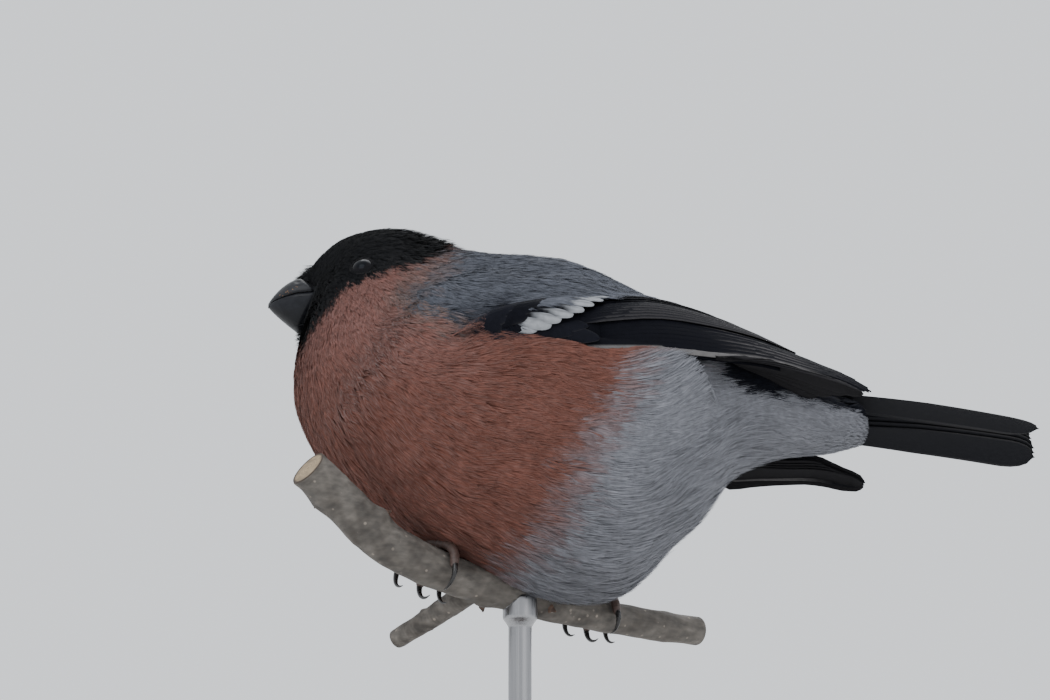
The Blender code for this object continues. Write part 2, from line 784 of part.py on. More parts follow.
def disc(name, radius, low, high, bevel, collection, finish, segments=48):
    """A turned disc or rod, upright on the world's vertical axis, in world millimetres."""
    mesh = bpy.data.meshes.new(name)
    shape = bmesh.new()
    wide = radius * MM
    bmesh.ops.create_cone(
        shape, cap_ends=True, segments=segments, radius1=wide, radius2=wide, depth=(high - low) * MM
    )
    bmesh.ops.translate(shape, vec=(0, 0, (low + high) / 2 * MM), verts=shape.verts)
    shape.to_mesh(mesh)
    shape.free()
    mesh.shade_smooth()
    mesh.set_sharp_from_angle(angle=math.radians(40))
    mesh.materials.append(finish)
    obj = bpy.data.objects.new(name, mesh)
    collection.objects.link(obj)
    if bevel:
        edge = obj.modifiers.new("edge", "BEVEL")
        edge.width = bevel * MM
        edge.segments = 1
        edge.limit_method = "ANGLE"
        edge.angle_limit = math.radians(60)
        apply_modifiers(obj)
    return obj


def build():
    clear_scene()
    parts = new_collection("bullfinch")
    scrap = new_collection("cutters")

    black = material("cap_black", (0.012, 0.013, 0.017), 0.6)
    red = material("breast_red", (0.50, 0.16, 0.10), 0.8)
    grey = material("mantle_grey", (0.20, 0.21, 0.24), 0.8)
    white = material("vent_white", (0.62, 0.63, 0.65), 0.85)
    quill = material("wing_black", (0.02, 0.02, 0.028), 0.45)
    tail_finish = material("tail_black", (0.017, 0.017, 0.026), 0.45)
    horn = material("beak_horn", (0.03, 0.033, 0.04), 0.35)
    eye_finish = material("eye_dark", (0.01, 0.008, 0.007), 0.08)
    skin = material("leg_brown", (0.09, 0.055, 0.04), 0.55)
    bark = material("bark", (0.16, 0.13, 0.11), 0.9)
    wood = material("stand_wood", (0.16, 0.09, 0.05), 0.45)
    steel = material("stand_steel", (0.42, 0.42, 0.43), 0.35, 1.0)

    head = body_piece("head", 0.0, HEAD_END, 14, parts, black)
    neck = body_piece("neck", HEAD_END, NECK_END, 4, parts, red)
    torso = body_piece("torso", NECK_END, TORSO_END, 16, parts, grey)
    rump = body_piece("rump", TORSO_END, len(BODY) - 1.0, 9, parts, white)

    beak_hole = beak_cutter(scrap)
    cut(head, beak_hole)
    upper = beak_jaw("beak_upper", True, parts, horn)
    beak_jaw("beak_lower", False, parts, horn)
    for side in (-1, 1):
        pit = ball("nostril", (NOSTRIL[0], side * NOSTRIL[1], NOSTRIL[2]), NOSTRIL_RADIUS, scrap, 8)
        cut(upper, pit)

    skin_y, outward = surface_y(head, EYE_X, EYE_Z)
    for side, name in ((1, "left"), (-1, "right")):
        facing = Vector((outward.x, side * outward.y, outward.z))
        on_skin = Vector((EYE_X, side * skin_y, EYE_Z))
        union(head, [lid_ring(f"lid_{name}", on_skin, facing, scrap)])
        centre = on_skin - facing * EYE_SINK
        cut(head, ball(f"socket_{name}", centre, EYE_RADIUS + GAP, scrap, 16))
        ball(f"eye_{name}", centre, EYE_RADIUS, parts, 16).data.materials.append(eye_finish)

    for name, hang, right in (("wing_left", 0.0, False), ("wing_right", RIGHT_WING_HANG, True)):
        pocket = wing(name, hang, right, parts, scrap, quill)
        cut(torso, pocket)
        cut(rump, pocket)

    tail = tail_core(parts, "tail")
    tail.data.materials.append(tail_finish)
    union(tail, [tail_vane(k, s, scrap) for k in range(TAIL_PAIRS) for s in (-1, 1)], "MANIFOLD")
    cut(rump, tail_core(scrap, "tail_slot", grow=GAP + TAIL_SLOT_ROOM, end=72.0))

    perch = perch_tube("perch", 0.0, parts)
    perch.data.materials.append(bark)
    twig_points = [row[:3] for row in TWIG]
    pieces = [tube("twig", twig_points, [row[3] for row in TWIG], scrap)]
    pieces += [bud(f"bud_{i}", *place, scrap) for i, place in enumerate(BUDS)]
    union(perch, pieces)
    clearance = perch_tube("perch_clearance", GAP + 0.5, scrap)
    twig_clearance = tube("twig_clearance", twig_points, [row[3] + GAP + 0.3 for row in TWIG], scrap)
    cut(torso, clearance)
    cut(torso, twig_clearance)

    toe_clearance = perch_tube("toe_clearance", GAP, scrap)
    for side in ("left", "right"):
        pieces = leg_pieces(side, scrap)
        leg = pieces[0]
        leg.name = f"leg_{side}"
        scrap.objects.unlink(leg)
        parts.objects.link(leg)
        leg.data.materials.append(skin)
        union(leg, pieces[1:])
        cut(leg, toe_clearance)
        for cutter in leg_pieces(side, scrap, grow=GAP + 0.1):
            cut(torso, cutter)

    disc("stand_base", BASE_RADIUS, 0.0, BASE_HEIGHT, BASE_BEVEL, parts, wood)
    rod_foot = BASE_HEIGHT + GAP
    rod_top = BIRD_LIFT + 4.5
    rod = disc("stand_rod", ROD_RADIUS, rod_foot, rod_top, 0.0, parts, steel, 24)
    saddle = disc("saddle", SADDLE_RADIUS, rod_top - SADDLE_HEIGHT, rod_top, 0.0, scrap, steel, 24)
    union(rod, [saddle])
    cut(rod, perch_tube("saddle_clearance", GAP + 0.05, scrap))

    for helper in list(scrap.objects):
        bpy.data.objects.remove(helper, do_unlink=True)
    bpy.data.collections.remove(scrap)


build()
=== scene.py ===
"""A male bullfinch at life size, gripping a short cut branch that a plain round stand holds."""

import math

import bmesh
import bpy
import numpy as np
from mathutils import Matrix, Vector


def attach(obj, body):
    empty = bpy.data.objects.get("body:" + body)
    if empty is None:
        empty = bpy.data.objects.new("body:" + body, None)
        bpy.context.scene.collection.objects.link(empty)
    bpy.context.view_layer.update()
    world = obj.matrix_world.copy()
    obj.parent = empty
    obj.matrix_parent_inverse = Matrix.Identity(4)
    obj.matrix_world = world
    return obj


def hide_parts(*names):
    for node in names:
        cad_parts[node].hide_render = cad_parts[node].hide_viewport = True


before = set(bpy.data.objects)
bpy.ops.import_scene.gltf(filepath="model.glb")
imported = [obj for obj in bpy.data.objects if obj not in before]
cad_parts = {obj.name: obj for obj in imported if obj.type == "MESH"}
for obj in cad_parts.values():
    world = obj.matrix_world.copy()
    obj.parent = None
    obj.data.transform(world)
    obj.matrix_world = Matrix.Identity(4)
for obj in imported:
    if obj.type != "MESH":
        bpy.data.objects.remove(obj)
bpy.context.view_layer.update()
for cad_node in bpy.context.selected_objects:
    cad_node.select_set(False)


# Studio. A plain pale floor under soft light from large panels, with the camera low down and looking up at
# the bird's left side, as in the photograph. The framing keeps the bird's place in the picture.
def plain_finish(name, colour, roughness):
    """A new material and its Principled shader."""
    made = bpy.data.materials.new(name)
    made.use_nodes = True
    shader = made.node_tree.nodes["Principled BSDF"]
    shader.inputs["Base Color"].default_value = (*colour, 1.0)
    shader.inputs["Roughness"].default_value = roughness
    return made, shader


fine_wear = bpy.data.node_groups.new("fine_wear", "ShaderNodeTree")
for label, kind, start in (
    ("Colour", "NodeSocketColor", (0.5, 0.5, 0.5, 1.0)),
    ("Place", "NodeSocketVector", (0.0, 0.0, 0.0)),
    ("Scale", "NodeSocketFloat", 900.0),
    ("Amount", "NodeSocketFloat", 0.15),
    ("Roughness", "NodeSocketFloat", 0.5),
):
    fine_wear.interface.new_socket(label, in_out="INPUT", socket_type=kind).default_value = start
for label, kind in (("Colour", "NodeSocketColor"), ("Roughness", "NodeSocketFloat"), ("Height", "NodeSocketFloat")):
    fine_wear.interface.new_socket(label, in_out="OUTPUT", socket_type=kind)


def fill_fine_wear(nodes, links):
    """Noise that varies a colour and a roughness a little, and gives a height for a bump."""
    given, out = nodes.new("NodeGroupInput"), nodes.new("NodeGroupOutput")
    noise = nodes.new("ShaderNodeTexNoise")
    noise.inputs["Detail"].default_value = 4.0
    links.new(given.outputs["Place"], noise.inputs["Vector"])
    links.new(given.outputs["Scale"], noise.inputs["Scale"])
    steps = {}
    for label, operation, value in (
        ("centre", "SUBTRACT", 0.5), ("spread", "MULTIPLY", 4.0), ("amount", "MULTIPLY", 1.0), ("gain", "ADD", 1.0),
        ("dull", "MULTIPLY_ADD", 0.5),
    ):
        steps[label] = nodes.new("ShaderNodeMath")
        steps[label].operation = operation
        steps[label].inputs[1].default_value = value
    tint = nodes.new("ShaderNodeMix")
    tint.data_type = "RGBA"
    tint.blend_type = "MULTIPLY"
    tint.inputs["Factor"].default_value = 1.0
    links.new(noise.outputs["Fac"], steps["centre"].inputs[0])
    links.new(steps["centre"].outputs["Value"], steps["spread"].inputs[0])
    links.new(steps["spread"].outputs["Value"], steps["amount"].inputs[0])
    links.new(given.outputs["Amount"], steps["amount"].inputs[1])
    links.new(steps["amount"].outputs["Value"], steps["gain"].inputs[0])
    links.new(steps["centre"].outputs["Value"], steps["dull"].inputs[0])
    links.new(given.outputs["Roughness"], steps["dull"].inputs[2])
    links.new(given.outputs["Colour"], tint.inputs["A"])
    links.new(steps["gain"].outputs["Value"], tint.inputs["B"])
    links.new(tint.outputs["Result"], out.inputs["Colour"])
    links.new(steps["dull"].outputs["Value"], out.inputs["Roughness"])
    links.new(noise.outputs["Fac"], out.inputs["Height"])


fill_fine_wear(fine_wear.nodes, fine_wear.links)


def worn(made, shader, scale, amount, roughness, stretch=(1.0, 1.0, 1.0), relief=0.0, colour_from=None):
    """Runs a material's colour and roughness through the fine wear, laid out on Object coordinates."""
    nodes, links = made.node_tree.nodes, made.node_tree.links
    place, stretched, wear = nodes.new("ShaderNodeTexCoord"), nodes.new("ShaderNodeMapping"), nodes.new("ShaderNodeGroup")
    wear.node_tree = fine_wear
    stretched.inputs["Scale"].default_value = stretch
    wear.inputs["Scale"].default_value = scale
    wear.inputs["Amount"].default_value = amount
    wear.inputs["Roughness"].default_value = roughness
    wear.inputs["Colour"].default_value = shader.inputs["Base Color"].default_value
    if colour_from is not None:
        links.new(colour_from, wear.inputs["Colour"])
    links.new(place.outputs["Object"], stretched.inputs["Vector"])
    links.new(stretched.outputs["Vector"], wear.inputs["Place"])
    links.new(wear.outputs["Colour"], shader.inputs["Base Color"])
    links.new(wear.outputs["Roughness"], shader.inputs["Roughness"])
    if relief:
        bump = nodes.new("ShaderNodeBump")
        bump.inputs["Strength"].default_value = 1.0
        bump.inputs["Distance"].default_value = relief
        links.new(wear.outputs["Height"], bump.inputs["Height"])
        links.new(bump.outputs["Normal"], shader.inputs["Normal"])
    return wear


bpy.ops.mesh.primitive_plane_add(size=6.0, location=(0, 0, 0))
floor = bpy.context.object
floor.name = "studio_floor"
floor_finish, floor_shader = plain_finish("studio_floor", (0.78, 0.78, 0.77), 0.8)
worn(floor_finish, floor_shader, 60.0, 0.02, 0.8)
floor.data.materials.append(floor_finish)

sky = bpy.data.worlds.new("studio_air")
bpy.context.scene.world = sky
sky.use_nodes = True
sky.node_tree.nodes["Background"].inputs["Color"].default_value = (0.86, 0.89, 0.93, 1.0)
sky.node_tree.nodes["Background"].inputs["Strength"].default_value = 1.25

for lamp_name, place, aim, size, power in (
    ("key_panel", (-0.35, -0.75, 0.75), (0.02, 0, 0.12), 0.6, 3.2),
    ("top_panel", (0.15, 0.35, 0.95), (0.02, 0, 0.12), 0.8, 6.0),
    ("fill_panel", (0.6, -0.6, 0.25), (0.03, 0, 0.11), 0.6, 0.8),
    ("rear_panel", (0.1, 0.8, 0.4), (0.02, 0, 0.12), 0.7, 2.5),
):
    lamp = bpy.data.lights.new(lamp_name, "AREA")
    lamp.size = size
    lamp.energy = power
    holder = bpy.data.objects.new(lamp_name, lamp)
    bpy.context.scene.collection.objects.link(holder)
    holder.location = place
    holder.rotation_euler = (Vector(aim) - Vector(place)).to_track_quat("-Z", "Y").to_euler()

CAMERA_PLACE = np.array((1.0, -370.0, 9.0))
CAMERA_PITCH, CAMERA_LENS = math.radians(17.7), 61.9
camera_data = bpy.data.cameras.new("camera")
camera_data.lens = CAMERA_LENS
camera_data.clip_start = 0.01
camera = bpy.data.objects.new("camera", camera_data)
bpy.context.scene.collection.objects.link(camera)
camera.location = CAMERA_PLACE * 0.001
camera.rotation_euler = (math.pi / 2 + CAMERA_PITCH, 0, 0)
bpy.context.scene.camera = camera


# Skin. One closed skin carries the plumage of head, neck, body and rump, without a seam. It is a sphere
# shaped to the body's sections, set in by the depth of the coat, and hollowed where the wings lie.
# Lengths are in millimetres in the bird's frame: x from beak to tail, y to its right, z up.
MM = 0.001
BIRD_PLACE = np.array((8.0, 0.0, 70.0))
# Sections from beak to tail: top x, top z, bottom x, bottom z, half width, share of the way down where widest
BODY = np.array(
    (
        (-55.6, 73.4, -54.9, 61.0, 1.8, 0.50),
        (-54.0, 75.4, -55.3, 58.8, 3.4, 0.50),
        (-51.2, 78.9, -55.6, 57.4, 4.6, 0.50),
        (-46.5, 82.4, -55.9, 55.8, 7.2, 0.50),
        (-39.5, 84.2, -56.1, 54.2, 10.9, 0.50),
        (-33.0, 83.6, -56.3, 52.2, 13.0, 0.54),
        (-27.0, 81.2, -56.3, 49.0, 15.8, 0.58),
        (-21.5, 79.2, -54.6, 40.5, 20.2, 0.60),
        (-14.5, 77.8, -47.0, 27.2, 26.4, 0.58),
        (-7.0, 77.0, -32.5, 13.9, 30.5, 0.56),
        (0.5, 75.9, -15.0, 6.8, 32.3, 0.55),
        (8.0, 73.4, 0.0, 3.2, 32.2, 0.54),
        (15.5, 69.2, 11.5, 4.9, 30.4, 0.52),
        (23.0, 64.8, 20.5, 12.6, 26.6, 0.50),
        (31.0, 60.2, 28.5, 20.6, 21.6, 0.48),
        (39.5, 55.4, 36.5, 30.2, 17.0, 0.46),
        (48.5, 50.4, 47.0, 33.6, 14.0, 0.46),
        (57.0, 46.4, 57.5, 34.8, 12.4, 0.48),
        (61.0, 44.6, 64.5, 36.6, 11.4, 0.50),
    )
)
BODY_END = len(BODY) - 1.0
FOLD = np.array(((-33.0, 65.5), (-36.5, 60.5), (-41.0, 53.5), (-45.5, 47.0), (-49.0, 41.0)))


def along_rows(rows, u):
    """Rows read from a smooth curve through a table, at u rows along."""
    last = len(rows) - 1
    i = np.clip(np.floor(u).astype(int), 0, last - 1)
    f = (u - i)[..., None]
    p, q, r, s = (rows[np.clip(i + k, 0, last)] for k in (-1, 0, 1, 2))
    return 0.5 * (2 * q + f * (r - p) + f * f * (2 * p - 5 * q + 4 * r - s) + f**3 * (3 * q - p - 3 * r + s))


def body_point(u, angle):
    """Points of the plumage's outside in section u, at an angle that runs from the top round to the right."""
    top_x, top_z, low_x, low_z, half, widest = np.moveaxis(along_rows(BODY, u), -1, 0)
    down = np.stack((low_x - top_x, np.zeros_like(u), low_z - top_z), -1)
    length = np.linalg.norm(down, axis=-1)
    down = down / length[..., None]
    up = np.cos(angle)
    reach = np.where(up > 0, length * widest, length * (1 - widest))
    point = np.stack((top_x, np.zeros_like(u), top_z), -1) + down * (length * widest - up * reach)[..., None]
    point[..., 1] += np.sin(angle) * half
    return point


def side_view(point):
    """Where a point of either side shows from the camera: along the bird, and up, in millimetres at its middle."""
    ahead = np.array((0.0, math.cos(CAMERA_PITCH), math.sin(CAMERA_PITCH)))
    above = np.array((0.0, -math.sin(CAMERA_PITCH), math.cos(CAMERA_PITCH)))
    near = np.stack((point[..., 0], -np.abs(point[..., 1]), point[..., 2]), -1) + BIRD_PLACE - CAMERA_PLACE
    scale = CAMERA_LENS / 36.0 * 1050.0 / (near @ ahead) / 4.71
    return near[..., 0] * scale - 7.43, near @ above * scale + 53.08


def off_line(line, x, v):
    """Signed distance of (x, v) from a line of points, above it positive where the line runs to the right."""
    best = np.full(x.shape, 1e9)
    signed = np.zeros(x.shape)
    for (ax, av), (bx, bv) in zip(line[:-1], line[1:]):
        dx, dv = bx - ax, bv - av
        share = np.clip(((x - ax) * dx + (v - av) * dv) / (dx * dx + dv * dv), 0, 1)
        gap = np.hypot(x - ax - share * dx, v - av - share * dv)
        side = np.sign(dx * (v - av) - dv * (x - ax))
        signed = np.where(gap < best, gap * side, signed)
        best = np.minimum(best, gap)
    return signed


def inside_of(outline, x, v):
    """Distance of (x, v) from a closed outline of points, positive inside it."""
    within = np.zeros(x.shape, bool)
    for (ax, av), (bx, bv) in zip(outline[:-1], outline[1:]):
        if av != bv:
            within ^= ((av > v) != (bv > v)) & (x < (bx - ax) * (v - av) / (bv - av) + ax)
    return np.abs(off_line(outline, x, v)) * np.where(within, 1.0, -1.0)


def soft_noise(point, scale, seed):
    """Smooth noise about zero from a few waves of random direction."""
    draw = np.random.default_rng(seed)
    total = np.zeros(point.shape[:-1])
    for _ in range(9):
        wave = draw.normal(size=3) / scale * 3.2
        total += np.sin(point @ wave + draw.uniform(0, 6.28))
    return total / 4.0


def smooth(low, high, value):
    share = np.clip((value - low) / (high - low), 0, 1)
    return share * share * (3 - 2 * share)


GRID_U, GRID_A = 541, 480
grid_u, grid_a = np.meshgrid(
    np.linspace(0, BODY_END, GRID_U), np.arange(GRID_A) * 2 * math.pi / GRID_A, indexing="ij"
)


def slopes(table):
    """Change of a table of points along u and round the body, and the outward normal."""
    along = np.gradient(table, BODY_END / (GRID_U - 1), axis=0)
    around = (np.roll(table, -1, 1) - np.roll(table, 1, 1)) / (4 * math.pi / GRID_A)
    normal = np.cross(along, around)
    normal /= np.linalg.norm(normal, axis=-1, keepdims=True) + 1e-9
    outward = table - table.mean(axis=1, keepdims=True)
    normal *= np.sign((normal * outward).sum(-1).mean())
    return along, around, normal


surface = body_point(grid_u, grid_a)
_, _, bare_normal = slopes(surface)
side_x, side_v = side_view(surface)
fold_depth = 0.55 * np.exp(-((off_line(FOLD, side_x, side_v) / 2.6) ** 2)) * smooth(-50.0, -45.0, side_x)
puff = 0.42 * soft_noise(surface, 9.0, 3) * smooth(5.5, 8.5, grid_u) * (1 - smooth(14.0, 16.5, grid_u))
surface = surface + bare_normal * (puff - fold_depth)[..., None]
surface_along, surface_around, surface_normal = slopes(surface)


def look(table, u, angle):
    """A table over the body read at u and angle."""
    row = np.clip(u / BODY_END * (GRID_U - 1), 0, GRID_U - 1.001)
    column = (angle / (2 * math.pi) * GRID_A) % GRID_A
    i, j = row.astype(int), column.astype(int) % GRID_A
    k = (j + 1) % GRID_A
    fu, fa = (row - i)[..., None], (column - np.floor(column))[..., None]
    return (table[i, j] * (1 - fa) + table[i, k] * fa) * (1 - fu) + (
        table[i + 1, j] * (1 - fa) + table[i + 1, k] * fa
    ) * fu


# The folded wing's sheet on the left: x, then y and z of its lower edge, then y and z of its upper edge
WING_SHEET = np.array(
    (
        (-22.0, -27.0, 49.4, -27.2, 53.0),
        (-10.0, -29.2, 50.4, -26.0, 57.0),
        (0.0, -30.6, 49.84, -21.8, 59.96),
        (12.0, -30.68, 49.88, -15.0, 62.64),
        (20.0, -29.52, 50.08, -11.4, 63.32),
        (30.0, -27.96, 49.32, -9.6, 60.68),
        (41.0, -27.0, 48.08, -9.2, 55.28),
        (51.0, -26.4, 45.28, -10.4, 49.64),
        (58.0, -25.6, 42.84, -12.4, 46.28),
        (67.0, -24.6, 38.08, -15.4, 42.36),
    )
)
WING_BULGE, WING_TIP_X, RIGHT_WING_HANG = 3.2, 66.0, 12.2


def wing_lines(x, hang):
    """Lower edge, upper edge, width and outward normal of the left wing's sheet at x, with its bulge and inset."""
    i = np.clip(np.searchsorted(WING_SHEET[:, 0], x, side="left") - 1, 0, len(WING_SHEET) - 2)
    share = np.clip((x - WING_SHEET[i, 0]) / (WING_SHEET[i + 1, 0] - WING_SHEET[i, 0]), 0, 1)
    row = along_rows(WING_SHEET, i + share)
    drop = hang * smooth(-8.0, 35.0, x) * (1 - 0.62 * np.clip((x - 40.0) / (WING_TIP_X - 40.0), 0, 1))
    low = np.stack((x, row[..., 1], row[..., 2] - drop), -1)
    high = np.stack((x, row[..., 3], row[..., 4] - drop * 0.5), -1)
    width = np.linalg.norm(high - low, axis=-1)
    chord = (high - low) / width[..., None]
    normal = np.stack((np.zeros_like(x), -chord[..., 2], chord[..., 1]), -1)
    normal *= np.where(normal[..., 1:2] > 0, -1.0, 1.0)
    rear = np.clip((x - 20.0) / (WING_TIP_X - 20.0), 0, 1)
    return low, chord, width, normal, 4 * WING_BULGE * (1 - 0.6 * rear), 2.0 - 1.4 * rear


def wing_place(point):
    """Share across, height over the sheet and length past the ends, of points near either wing."""
    x = np.clip(point[..., 0], -22.0, 66.0)
    mirrored = point * np.array((1.0, -1.0, 1.0))
    place = np.where(point[..., 1:2] > 0, mirrored, point)
    hang = np.where(point[..., 1] > 0, RIGHT_WING_HANG, 0.0)
    low, chord, width, normal, bulge, inset = wing_lines(x, hang)
    place = place * 1.0
    place[..., 0] = x
    t = ((place - low) * chord).sum(-1) / width
    inside = np.clip(t, 0, 1)
    height = ((place - low) * normal).sum(-1) - bulge * inside * (1 - inside) + inset
    normal = np.where(point[..., 1:2] > 0, normal * np.array((1.0, -1.0, 1.0)), normal)
    return t, height, normal, width


def wing_top(x, t):
    """How high the folded wing's feathers stand over its sheet."""
    quills = np.interp(t, (0.0, 0.1, 0.3, 0.6, 0.8, 1.0), (0.0, 0.4, 1.4, 2.2, 2.9, 2.9))
    coverts = np.interp(t, (0.0, 0.1, 0.3, 1.0), (1.3, 2.1, 2.6, 2.8)) - 2.2 * (1 - smooth(-22.0, -14.0, x))
    return coverts + (quills - coverts) * smooth(4.0, 14.0, x)


def skin_depth(u):
    return np.interp(u, (0.0, 1.0, 4.0, 7.0, 10.0, 15.0, 18.0), (0.45, 0.6, 0.75, 0.9, 1.1, 1.1, 0.8))


def under_wings(point):
    """Points pushed in where they would come through a folded wing."""
    t, height, normal, width = wing_place(point)
    room = wing_top(point[..., 0], np.clip(t, 0, 1)) - 1.3
    edge = np.minimum(t, 1 - t) * width
    inside = smooth(-2.5, 0.3, edge) * smooth(-25.0, -20.0, point[..., 0]) * (1 - smooth(62.0, 68.0, point[..., 0]))
    push = np.clip(height - room, 0, 14.0) * inside
    return point - normal * push[..., None]


def shaped_ball(name, segments, rings, shape):
    """A ball shaped in one go: shape takes the share from pole to pole and the angle round, and gives points."""
    bpy.ops.mesh.primitive_uv_sphere_add(segments=segments, ring_count=rings, radius=1.0)
    obj = bpy.context.object
    obj.name = name
    ball = np.empty(len(obj.data.vertices) * 3)
    obj.data.vertices.foreach_get("co", ball)
    ball = ball.reshape(-1, 3)
    share = np.arccos(np.clip(ball[:, 2], -1, 1)) / math.pi
    angle = np.arctan2(ball[:, 1], ball[:, 0])
    obj.data.vertices.foreach_set("co", ((shape(share, angle) + BIRD_PLACE) * MM).ravel())
    obj.data.update()
    bpy.ops.object.mode_set(mode="EDIT")
    bpy.ops.mesh.select_all(action="SELECT")
    bpy.ops.mesh.normals_make_consistent(inside=False)
    bpy.ops.object.mode_set(mode="OBJECT")
    bpy.ops.object.shade_smooth()
    obj.data.uv_layers[0].name = "OFBake"
    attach(obj, "root")
    return obj, share, angle


EYE_PLACE = np.array((-40.97, -10.53, 70.77))
EYE_FACING = np.array((-0.197, -0.884, 0.424))


def skin_shape(share, angle):
    u = share * BODY_END
    points = look(surface, u, angle) - look(surface_normal, u, angle) * skin_depth(u)[:, None]
    points = under_wings(points)
    for side in (1.0, -1.0):
        mirror = np.array((1.0, side, 1.0))
        away = np.linalg.norm(points - EYE_PLACE * mirror, axis=-1)
        facing = ((points - EYE_PLACE * mirror) * (EYE_FACING * mirror)).sum(-1)
        inward = np.clip(3.6 - away, 0, None) * (facing > 0)
        points = points - EYE_FACING * mirror * (inward * 1.6)[:, None]
    points[share < 1e-6] = surface[0].mean(axis=0)
    points[share > 1 - 1e-6] = surface[-1].mean(axis=0)
    return points


skin, skin_share, skin_a = shaped_ball("skin", 160, 180, skin_shape)
skin_u = skin_share * BODY_END


# Markings. The species' pattern is laid out as lines in the side view, shared by skin and coat: a glossy
# black cap and chin, brick-pink cheeks and breast, a blue-grey mantle, white belly and rump, black tail base.
# The white is painted a dull grey as painted shade, the blue-black reaches forward onto the flanks under the
# wings' rear ends as painted shade, and a painted shade line darkens the fold between head and breast.
CAP_EDGE = np.array(
    ((-57.0, 50.0), (-54.8, 53.9), (-53.1, 56.7), (-51.0, 59.7), (-49.0, 62.6), (-46.7, 65.4), (-43.3, 67.9),
     (-39.5, 69.4), (-35.7, 70.7), (-29.9, 72.4), (-25.1, 75.4), (-22.0, 78.0))
)
MANTLE = np.array(
    ((-23.5, 95.0), (-24.0, 77.5), (-25.5, 72.5), (-30.0, 68.0), (-34.2, 64.6), (-32.0, 62.6), (-27.5, 61.8),
     (-22.5, 59.8), (-18.0, 58.6), (0.0, 58.5), (40.0, 53.0), (80.0, 50.0), (80.0, 95.0), (-23.5, 95.0))
)
BELLY_EDGE = np.array(
    ((18.0, 56.0), (15.0, 53.5), (10.8, 43.1), (6.4, 37.8), (1.1, 28.0), (-4.0, 15.5), (-12.7, 8.5), (-20.0, 0.0))
)
# Edge of the blue-black behind it. From about x 31 to 40 it takes in the flanks under the wings' rear ends, where the
# blue-black is painted shade; farther back it is the real black of the tail coverts and tail base.
TAIL_BLACK_AND_SHADE_EDGE = np.array(
    ((28.0, 49.5), (31.2, 47.3), (34.6, 45.9), (40.1, 44.8), (47.3, 43.5), (53.3, 42.4), (58.5, 40.8), (64.0, 39.2), (68.0, 36.6), (70.0, 30.0))
)
SHOULDER = np.array(
    ((-23.6, 60.4), (-18.0, 63.3), (-10.6, 63.9), (-10.2, 57.3), (-14.9, 56.9), (-19.5, 56.0), (-22.6, 57.0), (-23.6, 60.4))
)
BLACK, INK = np.array((0.0050, 0.0054, 0.0068)), np.array((0.0050, 0.0058, 0.0100))
RED, CHEEK, BUFF = np.array((0.155, 0.062, 0.046)), np.array((0.200, 0.090, 0.074)), np.array((0.185, 0.130, 0.114))
# The white of belly and rump is a dull pale grey, far darker than the feathers' real white: painted shade, as the
# belly lies in shade.
GREY, WHITE_IN_PAINTED_SHADE = np.array((0.094, 0.101, 0.122)), np.array((0.190, 0.195, 0.217))


def plumage(point, ragged=0.0):
    """Colour of the plumage at a point of the body, with the edges between colours moved by ragged millimetres, and
    darkened by painted shade along the fold between head and breast.
    """
    x, v = side_view(point)
    breadth = np.abs(point[..., 1])
    v_top = v + 2.2 * np.clip(1 - breadth / 9.0, 0, 1) * smooth(-38.0, -26.0, x)
    overhang = 0.9 + 0.2 * smooth(-50.0, -44.0, x)
    cap = smooth(-0.5, 0.5, off_line(CAP_EDGE, x, v_top) - overhang + ragged * 0.45) * (1 - smooth(-24.5, -22.5, x + ragged * 0.6))
    cap = np.where(v > 79.0, 1 - smooth(-24.5, -22.5, x + ragged * 0.6), cap)
    cap = np.maximum(cap, (1 - smooth(-54.6, -53.6, x)) * smooth(54.0, 56.0, v))
    mantle = inside_of(MANTLE, x, v) + ragged * (1 + 0.4 * np.exp(-(((x + 26.0) / 6.0) ** 2)))
    grey = smooth(-1.2, 1.2, mantle)
    buff = smooth(-4.5, -1.0, mantle) * (1 - smooth(-24.0, -15.0, x))
    pale = smooth(-3.0, 3.0, off_line(BELLY_EDGE, x, v) + ragged * 2.0)
    back = smooth(49.5, 52.5, v) * smooth(-16.0, -12.0, x)
    rump = smooth(17.0, 22.0, x + ragged) * smooth(48.0, 51.0, point[..., 2] + 0.42 * x - 9.0)
    # Blue-black behind the edge: on the flanks between about x 31 and 40 it is painted shade under the wing, from x 40
    # back the real black of the tail coverts.
    tail_black_and_shade = smooth(-0.4, 0.8, off_line(TAIL_BLACK_AND_SHADE_EDGE, x, v) + ragged * 0.3) * smooth(31.0, 36.0, x)
    tail_black_and_shade = tail_black_and_shade * np.maximum(smooth(38.0, 42.0, x + ragged), smooth(9.0, 12.0, breadth))
    cheek = smooth(40.0, 62.0, v) * (1 - smooth(-30.0, -12.0, x))
    dark = smooth(-1.0, 1.0, inside_of(SHOULDER, x, v) + ragged * 1.1)
    # A dark line painted along the fold between head and breast: painted shade in the crease.
    painted_fold_shade = 0.5 * np.exp(-(((off_line(FOLD, x, v) + ragged * 0.7) / 1.2) ** 2)) * smooth(-49.0, -45.0, x)
    colour = RED + (CHEEK - RED) * cheek[..., None]
    for mask, paint in ((buff, BUFF), (grey, GREY), (pale * (1 - back), WHITE_IN_PAINTED_SHADE), (rump, WHITE_IN_PAINTED_SHADE), (dark, INK * 1.6), (tail_black_and_shade, INK), (cap, BLACK)):
        colour = colour + (paint - colour) * mask[..., None]
    return colour * (1 - painted_fold_shade)[..., None]


def paint_points(obj, colours):
    """Keeps a colour for each vertex in the attribute that the feather materials read."""
    rgba = np.ones((len(colours), 4), np.float32)
    rgba[:, :3] = np.clip(colours, 0.0, 1.0)
    obj.data.attributes.new("plume", "FLOAT_COLOR", "POINT").data.foreach_set("color", rgba.ravel())


